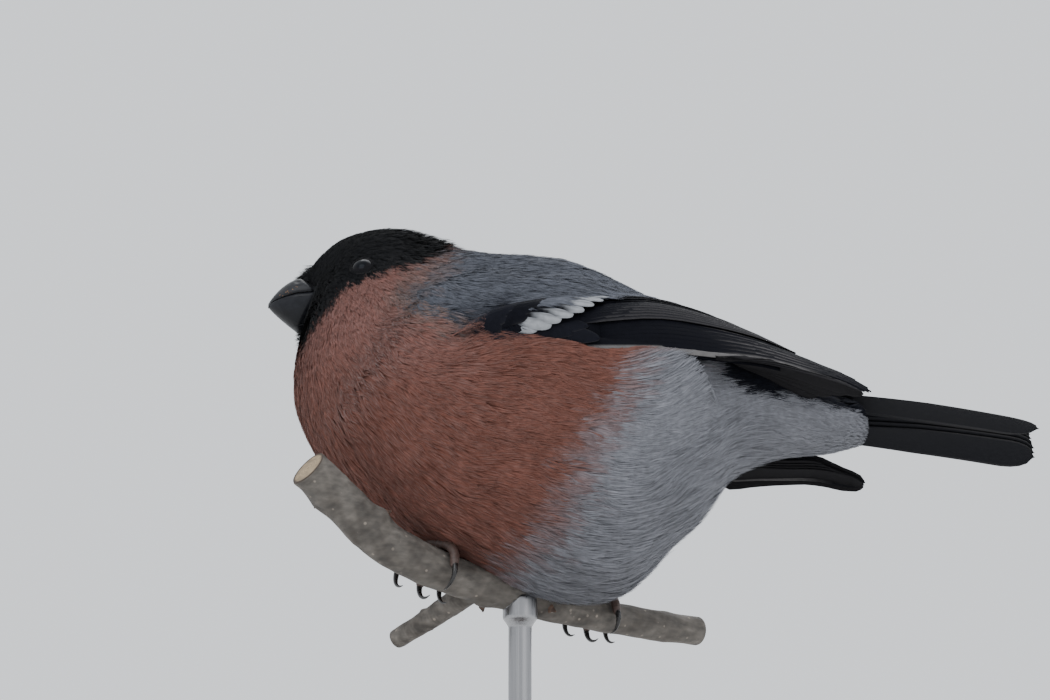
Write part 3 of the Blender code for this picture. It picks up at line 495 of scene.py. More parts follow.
def feather_finish(name, roughness, sheen, gloss_tint, specular):
    """A feather material: the plume attribute for colour, varied finely, and a gloss of its own."""
    made, shader = plain_finish(name, (0.5, 0.5, 0.5), roughness)
    plume = made.node_tree.nodes.new("ShaderNodeAttribute")
    plume.attribute_name = "plume"
    worn(made, shader, 900.0, 0.16, roughness, colour_from=plume.outputs["Color"])
    shader.inputs["Sheen Weight"].default_value = sheen
    shader.inputs["Sheen Roughness"].default_value = 0.45
    shader.inputs["Specular IOR Level"].default_value = specular
    shader.inputs["Specular Tint"].default_value = (*gloss_tint, 1.0)
    return made


plume_finish = feather_finish("plumage", 0.8, 0.04, (1.0, 1.0, 1.0), 0.12)
skin.data.materials.append(plume_finish)
# The skin's colours are the plumage's darkened by a fifth: partly the feathers' darker bases, partly painted shade
# beneath the coat.
paint_points(skin, plumage(look(surface, skin_u, skin_a)) * 0.8)
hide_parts("head", "neck", "torso", "rump")


# Body plumage. Thousands of small contour feathers, each a fan of fine barbs rooted in the skin and lying
# back along the body. They are shortest on the face, longest and loosest on the flanks and under the tail.
SCAPULAR_LINE = np.array(((-30.0, 57.0), (-23.4, 59.0), (-18.0, 61.1), (-11.3, 61.4), (-4.2, 62.6), (-1.1, 65.0), (6.4, 66.4), (11.7, 66.6), (22.0, 66.4)))
BARB_STATIONS = np.array((0.0, 0.38, 0.74, 1.0))
BARB_WIDTHS = np.array((0.7, 1.0, 0.75, 0.0))


def even_places(count, low_u, high_u, seed):
    """Evenly spread places over part of the body, by area, as u and angle."""
    first = int(low_u / BODY_END * (GRID_U - 1))
    last = int(high_u / BODY_END * (GRID_U - 1))
    area = np.linalg.norm(np.cross(surface_along[first:last], surface_around[first:last]), axis=-1)
    rows = np.cumsum(area.sum(axis=1))
    rows /= rows[-1]
    number = np.arange(count) + seed * 1000.5
    along, around = (number * 0.7548776662) % 1.0, (number * 0.5698402910) % 1.0
    row = np.interp(along, np.concatenate(((0.0,), rows)), np.arange(len(rows) + 1))
    pick = np.clip(row.astype(int), 0, len(area) - 1)
    columns = np.cumsum(area[pick], axis=1)
    columns /= columns[:, -1:]
    place = (columns < around[:, None]).sum(axis=1)
    before = np.where(place > 0, columns[np.arange(count), np.maximum(place - 1, 0)], 0.0)
    inner = (around - before) / (columns[np.arange(count), np.minimum(place, GRID_A - 1)] - before + 1e-12)
    u = (first + row) / (GRID_U - 1) * BODY_END
    return np.clip(u, 0, BODY_END), (place + np.clip(inner, 0, 1)) * 2 * math.pi / GRID_A


def contour_feathers(name, count, low_u, high_u, barbs, seed, keep=None):
    """One piece of the coat: count feathers between two sections, each a fan of that many barbs."""
    draw = np.random.default_rng(seed)
    u, angle = even_places(count, low_u, high_u, seed)
    root = look(surface, u, angle)
    x, v = side_view(root)
    t, height, _, _ = wing_place(root)
    scapular = off_line(SCAPULAR_LINE, x, v) > draw.normal(0, 0.35, len(u))
    edge = np.interp(x, (-19.0, -12.0, -4.0, 12.0, 20.0), (0.12, 0.08, 0.0, -0.02, 0.0))
    under = (t > edge) & (t < 1.02) & (x > -19.0) & (x < 62.0) & (height > -4.5) & ~scapular
    under &= ~((x < -14.0) & (t < 0.9))
    gape = root[:, 2] - 69.0
    under |= root[:, 0] < -52.2 - np.where(gape > 0, 0.85, -0.35) * gape
    tail_slot = (u > BODY_END - 0.05)
    chosen = ~under & ~tail_slot
    if keep is not None:
        chosen &= keep(root)
    u, angle, root, x, v, t = (a[chosen] for a in (u, angle, root, x, v, t))
    over_wing = scapular[chosen] | (x < -14.0) | ((t < 0.2) & (x < -11.0))
    tucked = smooth(-0.55, -0.05, t) * (t < 0.05) * smooth(4.0, 12.0, x) * (1 - smooth(26.0, 46.0, x))
    tucked *= smooth(-20.0, -5.0, height[chosen])
    many = len(u)
    length = np.interp(u, (0.0, 1.0, 2.5, 4.5, 6.0, 7.5, 10.0, 13.0, 16.0, 17.0, 18.0), (1.2, 1.5, 2.3, 3.4, 4.8, 6.2, 7.6, 9.2, 8.4, 3.4, 1.2))
    loose = smooth(9.0, 12.0, u) * (1 - smooth(14.0, 15.5, u)) * smooth(0.15, 0.75, -np.cos(angle))
    nape = smooth(3.4, 5.4, u) * (1 - smooth(6.0, 6.8, u)) * smooth(0.6, 0.95, np.cos(angle))
    folded = np.exp(-((off_line(FOLD, x, v) / 3.5) ** 2))
    length = length * (1 + 0.28 * loose) * draw.uniform(0.82, 1.18, many)
    half_width = 0.5 * np.interp(u, (0.0, 2.0, 5.0, 8.0, 14.0, 18.0), (0.11, 0.13, 0.16, 0.21, 0.26, 0.27))
    turn = 0.20 * soft_noise(root, 7.0, 21) + 0.12 * soft_noise(root, 2.4, 22) + draw.normal(0, 0.07, many)
    lift = draw.uniform(0.0, 0.35, many) + loose * draw.uniform(0.0, 1.9, many) + nape * draw.uniform(0.0, 2.3, many)
    lift *= np.interp(u, (0.0, 3.0, 6.0, 9.0), (0.35, 0.55, 0.85, 1.0))
    lift += folded * draw.uniform(0.0, 0.45, many)
    turn += folded * draw.normal(0, 0.25, many)
    shade = 1 + draw.normal(0, 0.07, many) + 0.05 * soft_noise(root, 5.0, 31)
    ragged = draw.normal(0, 0.9, many) + 0.7 * soft_noise(root, 3.0, 41)

    # One row for each barb from here on
    fan = np.tile((np.arange(barbs) + 0.5) / barbs * 2 - 1, many) + draw.normal(0, 0.09, many * barbs)
    repeat = lambda values: np.repeat(values, barbs, axis=0)
    tucked = repeat(tucked)
    u, angle, length, half_width, turn = map(repeat, (u, angle, length, half_width, turn))
    lift, shade, ragged, loose, over_wing, folded = map(repeat, (lift, shade, ragged, loose, over_wing, folded))
    total = many * barbs
    length = length * (1 - 0.22 * fan * fan) * draw.uniform(0.86, 1.1, total)
    point = look(surface, u, angle)
    normal = look(surface_normal, u, angle)
    forward = look(surface_along, u, angle)
    forward /= np.linalg.norm(forward, axis=-1, keepdims=True)
    x, v = side_view(point)
    sweep = np.exp(-(((x + 22.0) / 9.0) ** 2) - ((v - 54.0) / 5.0) ** 2)[:, None]
    forward = forward * (1 - 0.6 * sweep) + np.array((0.95, 0.0, 0.25)) * 0.6 * sweep
    forward -= normal * (forward * normal).sum(-1, keepdims=True)
    forward /= np.linalg.norm(forward, axis=-1, keepdims=True)
    aside = np.cross(normal, forward)
    swing = turn + fan * (0.38 + 0.2 * loose)
    heading = forward * np.cos(swing)[:, None] + aside * np.sin(swing)[:, None]
    roll = draw.normal(0, 0.28, total)[:, None]
    depth = skin_depth(u) + 0.15
    colour = plumage(point, ragged) * (shade * draw.normal(1.0, 0.05, total))[:, None]
    tip_colour = plumage(point + forward * (length * 0.8)[:, None], ragged) * (shade * draw.normal(1.02, 0.05, total))[:, None]
    # Barbs whose tips reach the blue-black behind x 24 take its colour: real black on the tail coverts, painted shade
    # on the flanks under the wings.
    tip_in_black_and_shade_area = (tip_colour.max(axis=1) < 0.03) & (x > 24.0)
    colour = np.where((colour.max(axis=1) < 0.03)[:, None], colour, 0.5 * (colour + tip_colour))
    colour = np.where(tip_in_black_and_shade_area[:, None], tip_colour, colour)
    reddish = smooth(1.5, 2.2, colour[:, 0] / (colour[:, 2] + 1e-6)) * smooth(0.03, 0.08, colour[:, 0])
    silver = reddish * draw.uniform(0.0, 1.0, total) ** 2 * (0.35 + 0.35 * folded) * (1 - 0.5 * smooth(8.5, 11.0, u))
    # Each barb runs from dark at its root to a little paler at its tip: partly the feathers' real grey bases, partly
    # painted shade between the strands. The extra root darkening along the fold is painted shade.
    inner = (0.72 - 0.14 * folded)[:, None]
    verts, tints = [], []
    here, place_u, place_a = point, u * 1.0, angle * 1.0
    bend = -1.15 * fan * (0.38 + 0.2 * loose)
    done = 0.0
    for share, wide in zip(BARB_STATIONS, BARB_WIDTHS):
        step = (share - done) * length
        turned = bend * (share - done)
        across = np.cross(normal, heading)
        heading = heading * np.cos(turned)[:, None] + across * np.sin(turned)[:, None]
        if share > 0:
            grad_u, grad_a = look(surface_along, place_u, place_a), look(surface_around, place_u, place_a)
            uu, aa, ua = (grad_u**2).sum(-1), (grad_a**2).sum(-1), (grad_u * grad_a).sum(-1)
            du, da = (heading * grad_u).sum(-1), (heading * grad_a).sum(-1)
            det = uu * aa - ua * ua + 1e-9
            new_u = place_u + step * (du * aa - da * ua) / det
            place_a = place_a + step * (da * uu - du * ua) / det
            past = np.clip(new_u - BODY_END, 0, None) * np.sqrt(uu)
            place_u = np.clip(new_u, 0, BODY_END)
            normal = look(surface_normal, place_u, place_a)
            here = look(surface, place_u, place_a)
            heading = heading - normal * (heading * normal).sum(-1, keepdims=True) * (past <= 0)[:, None]
            heading /= np.linalg.norm(heading, axis=-1, keepdims=True)
            here = here + heading * past[:, None]
        done = share
        rise = -depth + (depth + lift * 0.9 - 0.05) * share**0.8
        spot = here + normal * rise[:, None]
        t, height, out, width = wing_place(spot)
        near = (t > -0.03) & (t < 1.05) & (spot[:, 0] > -21.0) & (spot[:, 0] < 66.0) & (height > -4.0)
        level = wing_top(spot[:, 0], np.clip(t, 0, 1))
        floor_level = level + 0.25 + 0.5 * lift * share
        raised = np.where(over_wing & near, np.clip(floor_level - height, 0, None), 0.0)
        sunk = np.where(~over_wing & near, np.clip(height - (level - 1.2), 0, None), 0.0)
        bridging = np.clip(0.1 - 9.0 * np.clip(-t - 0.03, 0, 1) - height, 0, 9.0) * tucked * (0.45 + 0.55 * share) * (t < 0.02)
        spot = spot + out * (raised - sunk + bridging)[:, None]
        for mirror in (np.array((1.0, 1.0, 1.0)), np.array((1.0, -1.0, 1.0))):
            off = spot - EYE_PLACE * mirror
            level_off = (off * (EYE_FACING * mirror)).sum(-1, keepdims=True)
            flat = off - EYE_FACING * mirror * level_off
            gap = np.linalg.norm(flat, axis=-1, keepdims=True) + 1e-9
            spot = spot + flat / gap * np.clip(2.62 - gap, 0, None) * ((level_off > 0) & (level_off < 6))
        side = np.cross(normal, heading)
        side = side * np.cos(roll) + normal * np.sin(roll)
        reach = side * (half_width * wide)[:, None]
        tint = colour * (inner + (1.03 - inner) * min(share / 0.45, 1.0))
        tint = tint + (np.array((0.21, 0.17, 0.165)) - tint) * (silver * smooth(0.35, 0.9, share))[:, None]
        if wide > 0:
            verts.append(np.stack((spot - reach, spot + reach), 1))
            tints.append(np.stack((tint, tint), 1))
        else:
            verts.append(spot[:, None])
            tints.append((tint * 1.06)[:, None])
    verts = np.concatenate(verts, axis=1)
    tints = np.concatenate(tints, axis=1)
    per = verts.shape[1]
    faces = []
    for k in range(len(BARB_STATIONS) - 2):
        a = 2 * k
        faces += [(a, a + 1, a + 3), (a, a + 3, a + 2)]
    faces.append((per - 3, per - 2, per - 1))
    faces = np.array(faces)
    all_faces = (faces[None] + (np.arange(total) * per)[:, None, None]).reshape(-1, 3)
    mesh = bpy.data.meshes.new(name)
    mesh.vertices.add(total * per)
    mesh.vertices.foreach_set("co", ((verts.reshape(-1, 3) + BIRD_PLACE) * MM).ravel())
    mesh.loops.add(len(all_faces) * 3)
    mesh.loops.foreach_set("vertex_index", all_faces.ravel())
    mesh.polygons.add(len(all_faces))
    mesh.polygons.foreach_set("loop_start", np.arange(len(all_faces)) * 3)
    mesh.polygons.foreach_set("use_smooth", np.ones(len(all_faces), bool))
    mesh.update(calc_edges=True)
    obj = bpy.data.objects.new(name, mesh)
    bpy.context.scene.collection.objects.link(obj)
    patch = [(0.2 + 0.6 * (i % 2), BARB_STATIONS[i // 2]) for i in range(per - 1)]
    patch = np.array(patch + [(0.5, 1.0)]) * 0.003
    root_uv = np.stack((angle / (2 * math.pi) % 1.0, 1 - u / BODY_END), 1) * 0.994
    uv = (root_uv[:, None] + patch[None]).reshape(-1, 2)
    mesh.uv_layers.new(name="OFBake").data.foreach_set("uv", uv[all_faces.ravel()].ravel())
    paint_points(obj, tints.reshape(-1, 3))
    mesh.materials.append(plume_finish)
    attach(obj, "root")
    return obj


for name, count, low_u, high_u, barbs, seed, nodes in (
    ("coat_face", 4300, 0.0, 3.2, 8, 101, ("head",)),
    ("coat_crown", 4300, 3.1, 5.6, 9, 102, ("head",)),
    ("coat_neck", 4400, 5.5, 7.4, 9, 103, ("head", "neck")),
    ("coat_breast", 4400, 7.3, 8.7, 9, 104, ("torso",)),
    ("coat_shoulders", 4400, 8.6, 10.0, 9, 105, ("torso",)),
    ("coat_middle", 4400, 9.9, 11.4, 9, 106, ("torso",)),
    ("coat_flanks", 4200, 11.3, 13.0, 9, 107, ("torso",)),
    ("coat_vent", 4000, 12.9, 15.2, 9, 108, ("torso", "rump")),
    ("coat_tail_coverts", 3600, 15.1, 17.9, 9, 109, ("rump",)),
):
    piece = contour_feathers(name, count // (1), low_u, high_u, barbs, seed)
    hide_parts(*nodes)


# Wings. Each folded wing is built feather by feather over a thin core: primaries and secondaries below,
# three broad tertials on top, then rows of coverts with the pale bar. Every vane is a thin curved shell
# with a raised shaft, and lies on its neighbour as a closed fan does.
VANE_ROWS = np.array((-1.0, -0.86, -0.6, -0.3, -0.07, 0.0, 0.07, 0.3, 0.6, 0.86, 1.0))
VANE_STEPS = 1 - np.linspace(1, 0, 17) ** 1.5


def closed_shell(top, bottom):
    """Vertices and triangles of a closed thin sheet from two grids of points."""
    rows, columns = top.shape[:2]
    points = np.concatenate((top.reshape(-1, 3), bottom.reshape(-1, 3)))
    under = rows * columns
    i, j = np.meshgrid(np.arange(rows - 1), np.arange(columns - 1), indexing="ij")
    a = (i * columns + j).ravel()
    b, c, d = a + 1, a + columns + 1, a + columns
    faces = [np.stack((a, b, c), 1), np.stack((a, c, d), 1)]
    faces += [np.stack((a, c, b), 1) + under, np.stack((a, d, c), 1) + under]
    border = [k for k in range(columns)] + [i * columns + columns - 1 for i in range(1, rows)]
    border += [(rows - 1) * columns + k for k in range(columns - 2, -1, -1)]
    border += [i * columns for i in range(rows - 2, 0, -1)]
    border = np.array(border)
    ahead = np.roll(border, -1)
    faces += [np.stack((border, border + under, ahead + under), 1), np.stack((border, ahead + under, ahead), 1)]
    return points, np.concatenate(faces)


def wing_spot(x, across, height, hang, tuck=0.0):
    """Points of the left wing at x, so many millimetres up from its lower edge and off its sheet."""
    low, chord, width, normal, bulge, inset = wing_lines(x, hang)
    t = across / width
    if tuck:
        chord, normal = chord * math.cos(tuck) - normal * math.sin(tuck), normal * math.cos(tuck) + chord * math.sin(tuck)
        bulge = bulge * 0.0
    return low + chord * across[..., None] + normal * (bulge * t * (1 - t) + height - inset)[..., None]


def wing_feather(root, tip, outer, inner, height, hang, draw, paint, point=2.2, sink=0.5, tuck=0.0):
    """One feather on the wing: shell, colours and the vane's own coordinates in millimetres."""
    s, k = np.meshgrid(VANE_STEPS, VANE_ROWS, indexing="ij")
    x = root[0] + (tip[0] - root[0]) * s
    width = wing_lines(x, hang)[2]
    full = np.where(k < 0, outer, inner) * (smooth(0.0, 0.3, s) if tuck else np.minimum(0.55 + 0.45 * s / 0.3, 1.0))
    close = np.clip((s - 0.80) / 0.20, 0, 1)
    full = full * np.maximum(1 - close**point, 0.0) ** 0.5 + 0.03
    middle = (root[1] + (tip[1] - root[1]) * s) * width
    across = middle + k * full
    shaft = np.exp(-((k / 0.06) ** 2)) * 0.10 * (1 - 0.7 * s)
    level = height + shaft - 0.16 * k * k - sink * np.maximum(1 - s / 0.25, 0.0) - 0.25 * close**2
    level = level - 2.4 * (1 - smooth(-21.0, -12.5, x))
    under_edge = np.clip(0.25 - across, 0, 3)
    level = level - under_edge * 0.75
    across = np.maximum(across, 0.25 - 0.5 * under_edge)
    top = wing_spot(x, across, level, hang, tuck)
    bottom = wing_spot(x, across, level - 0.09 - shaft, hang, tuck)
    points, faces = closed_shell(top, bottom)
    length = abs(tip[0] - root[0])
    colour = paint(s, k)
    colour = np.concatenate((colour.reshape(-1, 3), colour.reshape(-1, 3) * 0.8 + 0.006))
    vane = np.stack((k * full, s * length), -1).reshape(-1, 2)
    return points, faces, colour, np.concatenate((vane, vane))


def gather(name, shells, finish):
    """One object from many shells, with each shell's own tile in OFBake and its vane map for the barbs."""
    points = np.concatenate([shell[0] for shell in shells])
    starts = np.cumsum([0] + [len(shell[0]) for shell in shells[:-1]])
    faces = np.concatenate([shell[1] + start for shell, start in zip(shells, starts)])
    mesh = bpy.data.meshes.new(name)
    mesh.vertices.add(len(points))
    mesh.vertices.foreach_set("co", ((points + BIRD_PLACE) * MM).ravel())
    mesh.loops.add(len(faces) * 3)
    mesh.loops.foreach_set("vertex_index", faces.ravel())
    mesh.polygons.add(len(faces))
    mesh.polygons.foreach_set("loop_start", np.arange(len(faces)) * 3)
    mesh.polygons.foreach_set("use_smooth", np.ones(len(faces), bool))
    mesh.update(calc_edges=True)
    obj = bpy.data.objects.new(name, mesh)
    bpy.context.scene.collection.objects.link(obj)
    vanes = np.concatenate([shell[3] for shell in shells])
    tiles = math.ceil(math.sqrt(len(shells)))
    baked = []
    for number, shell in enumerate(shells):
        local = shell[3] - shell[3].min(axis=0)
        local = local / (local.max(axis=0) + 1e-9)
        half = len(local) // 2
        local[:, 0] *= 0.48
        local[half:, 0] += 0.5
        baked.append((np.array((number % tiles, number // tiles)) + 0.03 + local * 0.94) / tiles)
    mesh.uv_layers.new(name="OFBake").data.foreach_set("uv", np.concatenate(baked)[faces.ravel()].ravel())
    mesh.uv_layers.new(name="vane").data.foreach_set("uv", vanes[faces.ravel()].ravel())
    paint_points(obj, np.concatenate([shell[2] for shell in shells]))
    mesh.materials.append(finish)
    bpy.ops.object.select_all(action="DESELECT")
    obj.select_set(True)
    bpy.context.view_layer.objects.active = obj
    bpy.ops.object.mode_set(mode="EDIT")
    bpy.ops.mesh.select_all(action="SELECT")
    bpy.ops.mesh.normals_make_consistent(inside=False)
    bpy.ops.object.mode_set(mode="OBJECT")
    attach(obj, "root")
    return obj


def quill_finish(name):
    """Glossy flight-feather finish: the plume attribute, fine slanting barbs and a blue-violet gloss."""
    made = feather_finish(name, 0.62, 0.0, (0.80, 0.82, 1.0), 0.015)
    nodes, links = made.node_tree.nodes, made.node_tree.links
    vane_map = nodes.new("ShaderNodeUVMap")
    vane_map.uv_map = "vane"
    parts = nodes.new("ShaderNodeSeparateXYZ")
    outward = nodes.new("ShaderNodeMath")
    outward.operation = "ABSOLUTE"
    slant = nodes.new("ShaderNodeMath")
    slant.operation = "MULTIPLY_ADD"
    slant.inputs[1].default_value = -1.3
    packed = nodes.new("ShaderNodeMath")
    packed.operation = "MULTIPLY"
    packed.inputs[1].default_value = 9.0
    wave = nodes.new("ShaderNodeMath")
    wave.operation = "SINE"
    barbs = nodes.new("ShaderNodeBump")
    barbs.inputs["Strength"].default_value = 0.12
    barbs.inputs["Distance"].default_value = 0.00008
    links.new(vane_map.outputs["UV"], parts.inputs["Vector"])
    links.new(parts.outputs["X"], outward.inputs[0])
    links.new(outward.outputs["Value"], slant.inputs[0])
    links.new(parts.outputs["Y"], slant.inputs[2])
    links.new(slant.outputs["Value"], packed.inputs[0])
    links.new(packed.outputs["Value"], wave.inputs[0])
    links.new(wave.outputs["Value"], barbs.inputs["Height"])
    links.new(barbs.outputs["Normal"], nodes["Principled BSDF"].inputs["Normal"])
    return made


BLUE_BLACK, WEB_BROWN = np.array((0.0062, 0.0065, 0.0090)), np.array((0.0120, 0.0115, 0.0128))
EDGE_PALE, BAR_PALE = np.array((0.13, 0.125, 0.125)), np.array((0.29, 0.30, 0.32))


def blended(first, second, mask):
    return first + (second - first) * mask[..., None]


def primary_paint(edge, from_s, to_s, line=0.72):
    """Black vane whose outer edge is pale between two shares of its length."""

    def paint(s, k):
        pale = smooth(line, line + 0.23, -k)
        pale = pale * smooth(from_s, from_s + 0.1, s) * (1 - smooth(to_s, to_s + 0.15, s)) * edge
        web = blended(BLUE_BLACK, WEB_BROWN, smooth(0.2, 0.9, k))
        return blended(web, EDGE_PALE, pale)

    return paint


def web_paint(s, k):
    """Plain grey-brown inner web, as the quills show from below."""
    return WEB_BROWN * (1.0 - 0.2 * np.exp(-((k / 0.08) ** 2)) + 0.05 * smooth(0.7, 1.0, np.abs(k)))[..., None]


def covert_paint(pale_from, draw):
    """Black covert whose tip is pale grey from a share of its length, with a soft ragged border."""
    wander = draw.uniform(-0.03, 0.03)

    def paint(s, k):
        border = pale_from + wander + 0.08 * np.abs(k) + 0.05 * np.sin(k * 21.0 + wander * 90)
        pale = smooth(border - 0.06, border + 0.12, s) * (1 - 0.35 * np.exp(-((k / 0.08) ** 2)))
        return blended(BLUE_BLACK * 0.9 + 0 * s[..., None], BAR_PALE * (0.90 + 0.10 * np.sin(k * 17.0 + wander * 60))[..., None], pale)

    return paint


def dark_paint(shade):
    def paint(s, k):
        rim = smooth(0.82, 1.0, np.abs(k)) * smooth(0.55, 0.8, s) * 0.15
        return blended(BLUE_BLACK * shade + 0 * s[..., None], EDGE_PALE * 0.7, rim)

    return paint


PRIMARY_TIPS = (60.6, 61.8, 62.4, 61.6, 59.6, 57.0, 54.4, 51.8, 49.6)
TERTIAL_TIPS = (40.2, 34.2, 27.6)
BAR_TIPS = (
    (-11.6, 0.20), (-9.2, 0.175), (-6.6, 0.14), (-4.2, 0.13), (-1.9, 0.16), (0.5, 0.22), (2.8, 0.285), (5.0, 0.35),
    (7.0, 0.44), (8.8, 0.55), (10.4, 0.67), (11.8, 0.79), (13.0, 0.90),
)


def wing_shells(hang, reach, seed):
    """Every feather of one wing, laid out on the left, with its quills' tips reach farther back."""
    draw = np.random.default_rng(seed)
    shells = []
    core_x, core_t = np.meshgrid(np.linspace(-20.0, 30.0 if hang else 44.0, 40), np.linspace(0.03, 0.97, 18), indexing="ij")
    width = wing_lines(core_x, hang)[2]
    thin = np.minimum(smooth(0.0, 0.14, core_t), smooth(0.0, 0.10, 1 - core_t)) * smooth(-20.5, -14.0, core_x)
    over = wing_top(core_x, core_t) - 1.5 * smooth(-6.0, 16.0, core_x) - 0.75
    over = np.minimum(over, -1.5 + (over + 1.6) * thin + 0.1)
    core = closed_shell(wing_spot(core_x, core_t * width, over, hang), wing_spot(core_x, core_t * width, over * 0 - 1.6, hang))
    flat = np.stack((core_t.ravel(), core_x.ravel()), 1)
    shells.append((*core, np.tile(BLUE_BLACK * 0.8, (len(core[0]), 1)), np.concatenate((flat, flat))))

    def lay(root, tip, outer, inner, height, paint, **more):
        tip = (tip[0] + draw.uniform(-0.25, 0.25), tip[1] + draw.uniform(-0.006, 0.006))
        shells.append(wing_feather(root, tip, outer, inner, height + draw.uniform(-0.02, 0.02), hang, draw, paint, **more))

    for i, tip_x in enumerate(PRIMARY_TIPS):
        paint = primary_paint(1.0, 0.0, 0.78, 0.0) if i == 0 else primary_paint(0.75, 0.45, 0.70)
        lay((8.0 if i else -12.0, 0.03 + 0.035 * i), (tip_x + reach - (0.9 * i if hang else 0.0), 0.05 + (0.03 if hang else 0.066) * i), 1.25, 2.9, 0.16 * i - 0.2, paint, point=2.6)
    for i in range(4):
        tip = (60.4 + reach - 2.6 * i, 0.06 + (0.06 if hang else 0.15) * i)
        under = wing_feather((31.0, 0.05), tip, 2.0 + i, 3.8, 0.22 * i - 0.4, hang, draw, web_paint, tuck=0.2 if hang else 0.5)
        shells.append(under)
    for i in range(7):
        root = (0.0 + 1.5 * i, 0.30 + 0.05 * i)
        tip = (48.2 - 1.1 * i, 0.54 + 0.038 * i)
        lay(root, tip, 2.1, 3.2, 1.50 + 0.12 * i, primary_paint(0.28, 0.1, 0.9), point=3.0)
    # The tertials are painted at 0.6 of the blue-black, darker than the other quills: painted shade against the light
    # that falls on their upturned tops.
    for i, tip_x in enumerate(TERTIAL_TIPS):
        lay((6.0 - 2 * i, 0.74 + 0.04 * i), (tip_x, 0.86 + 0.02 * i), 3.9 - 0.3 * i, 3.2, 2.42 + 0.22 * i, dark_paint(0.6), point=2.4)
    for i in range(5):
        tip = ((8.0, 5.6, 2.5, -1.0, -4.0)[i], (0.05, 0.20, 0.10, 0.09, 0.10)[i])
        lay((tip[0] - 19.0, 0.12 + 0.02 * i), tip, 1.2, 1.7, 1.15 + 0.2 * i, dark_paint(1.5), point=1.3)
    for i, tip in enumerate(BAR_TIPS):
        root = (max(tip[0] - 15.0, -19.0 + 0.4 * i), tip[1] + min(0.30, 0.9 - 0.7 * tip[1]))
        pale_from = 1 - (6.6 - 0.12 * i + draw.uniform(-0.6, 0.6)) / (tip[0] - root[0])
        lay(root, tip, 1.5, 1.75, 2.30 + 0.08 * i, covert_paint(pale_from, draw), point=1.9)
    for row, (tip_x, count, height) in enumerate(((-7.0, 7, 3.05), (-11.0, 7, 3.2), (-14.5, 6, 3.2))):
        for i in range(count):
            t = 0.12 + 0.82 * (i + 0.5 * (row % 2)) / count
            tip = (tip_x + 10.0 * max(t - 0.3, 0) * (1 - 0.25 * row), t)
            lay((max(tip[0] - 9.0, -20.5), t), tip, 1.7, 1.8, height + 0.03 * i - 0.5 * (t < 0.25), dark_paint(1.1 + 0.5 * row), point=2.4, sink=1.0)
    return shells


quill = quill_finish("flight_feathers")
for side, hang, reach, seed in (("left", 0.0, 0.0, 5), ("right", RIGHT_WING_HANG, 8.2, 6)):
    shells = wing_shells(hang, reach, seed)
    if side == "right":
        shells = [(p * np.array((1.0, -1.0, 1.0)), f, c, v) for p, f, c, v in shells]
    wing = gather(f"wing_feathers_{side}", shells, quill)
    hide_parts(f"wing_{side}")


# Tail. Twelve broad feathers in a shallow fork, each pair lying under the pair inside it, and rooted in the
# rump's slot. The middle pair is on top.
TAIL_ROOT_X = 52.0


def tail_height(x):
    return 43.7 - 0.07 * (x - TAIL_ROOT_X) - 0.0014 * (x - TAIL_ROOT_X) ** 2


tail_draw = np.random.default_rng(8)
tail_shells = []
for pair in range(6):
    for side in (-1, 1):
        s, k = np.meshgrid(VANE_STEPS, VANE_ROWS, indexing="ij")
        tip_x = 98.3 + 0.4 * pair + (2.4 if side > 0 else 0.0) + tail_draw.uniform(-0.3, 0.3)
        x = TAIL_ROOT_X + (tip_x - TAIL_ROOT_X) * s
        centre = side * ((0.9 + 1.08 * pair) + (0.8 - 0.05 * pair) * s + tail_draw.uniform(-0.1, 0.1) * s)
        centre = centre + (1.5 * s if side < 0 else 0.5 * pair * (1 - s))
        outer_web = k * side > 0
        full = (3.2 + 1.4 * np.minimum(s / 0.5, 1.0)) * np.where(outer_web, 0.92, 1.05)
        close = np.clip((s - 0.84) / 0.16, 0, 1)
        full = full * np.maximum(1 - close ** np.where(outer_web, 2.6, 3.0), 0.0) ** 0.5 + 0.03
        y = centre + k * full
        x = x - 0.5 * np.abs(k) * close
        shaft = np.exp(-((k / 0.05) ** 2)) * 0.12 * (1 - 0.7 * s)
        level = 1.0 - 0.34 * pair + (0.15 if side > 0 else 0.0) - 0.014 * y * y * s - 0.12 * k * k - 0.21 * y * smooth(-0.15, 0.15, s) + 0.2 + 0.9 * s
        z = tail_height(x) + level
        top = np.stack((x, y, z + shaft), -1)
        shell, faces = closed_shell(top, np.stack((x, y, z - 0.10), -1))
        rim = smooth(0.86, 1.0, np.abs(k)) * smooth(0.3, 0.8, s) * 0.3
        colour = blended(BLUE_BLACK + 0 * s[..., None], EDGE_PALE * 0.8, rim)
        colour = np.concatenate((colour.reshape(-1, 3), colour.reshape(-1, 3) * 0.8 + 0.008))
        vane = np.stack((k * full, s * 47.0), -1).reshape(-1, 2)
        tail_shells.append((shell, faces, colour, np.concatenate((vane, vane))))
tail = gather("tail_feathers", tail_shells, quill)
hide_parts("tail")


# Beak. Two short deep horn jaws meeting along a gently bowed line, the upper just overhanging the lower. The
# horn is blue-black, paler on the sides above the line of the mouth, where it is scuffed and flecked.
BEAK_TIP_X, BEAK_FEATHER_X, BEAK_ROOT_X, BEAK_TIP_Z = -62.7, -55.8, -50.5, 67.3


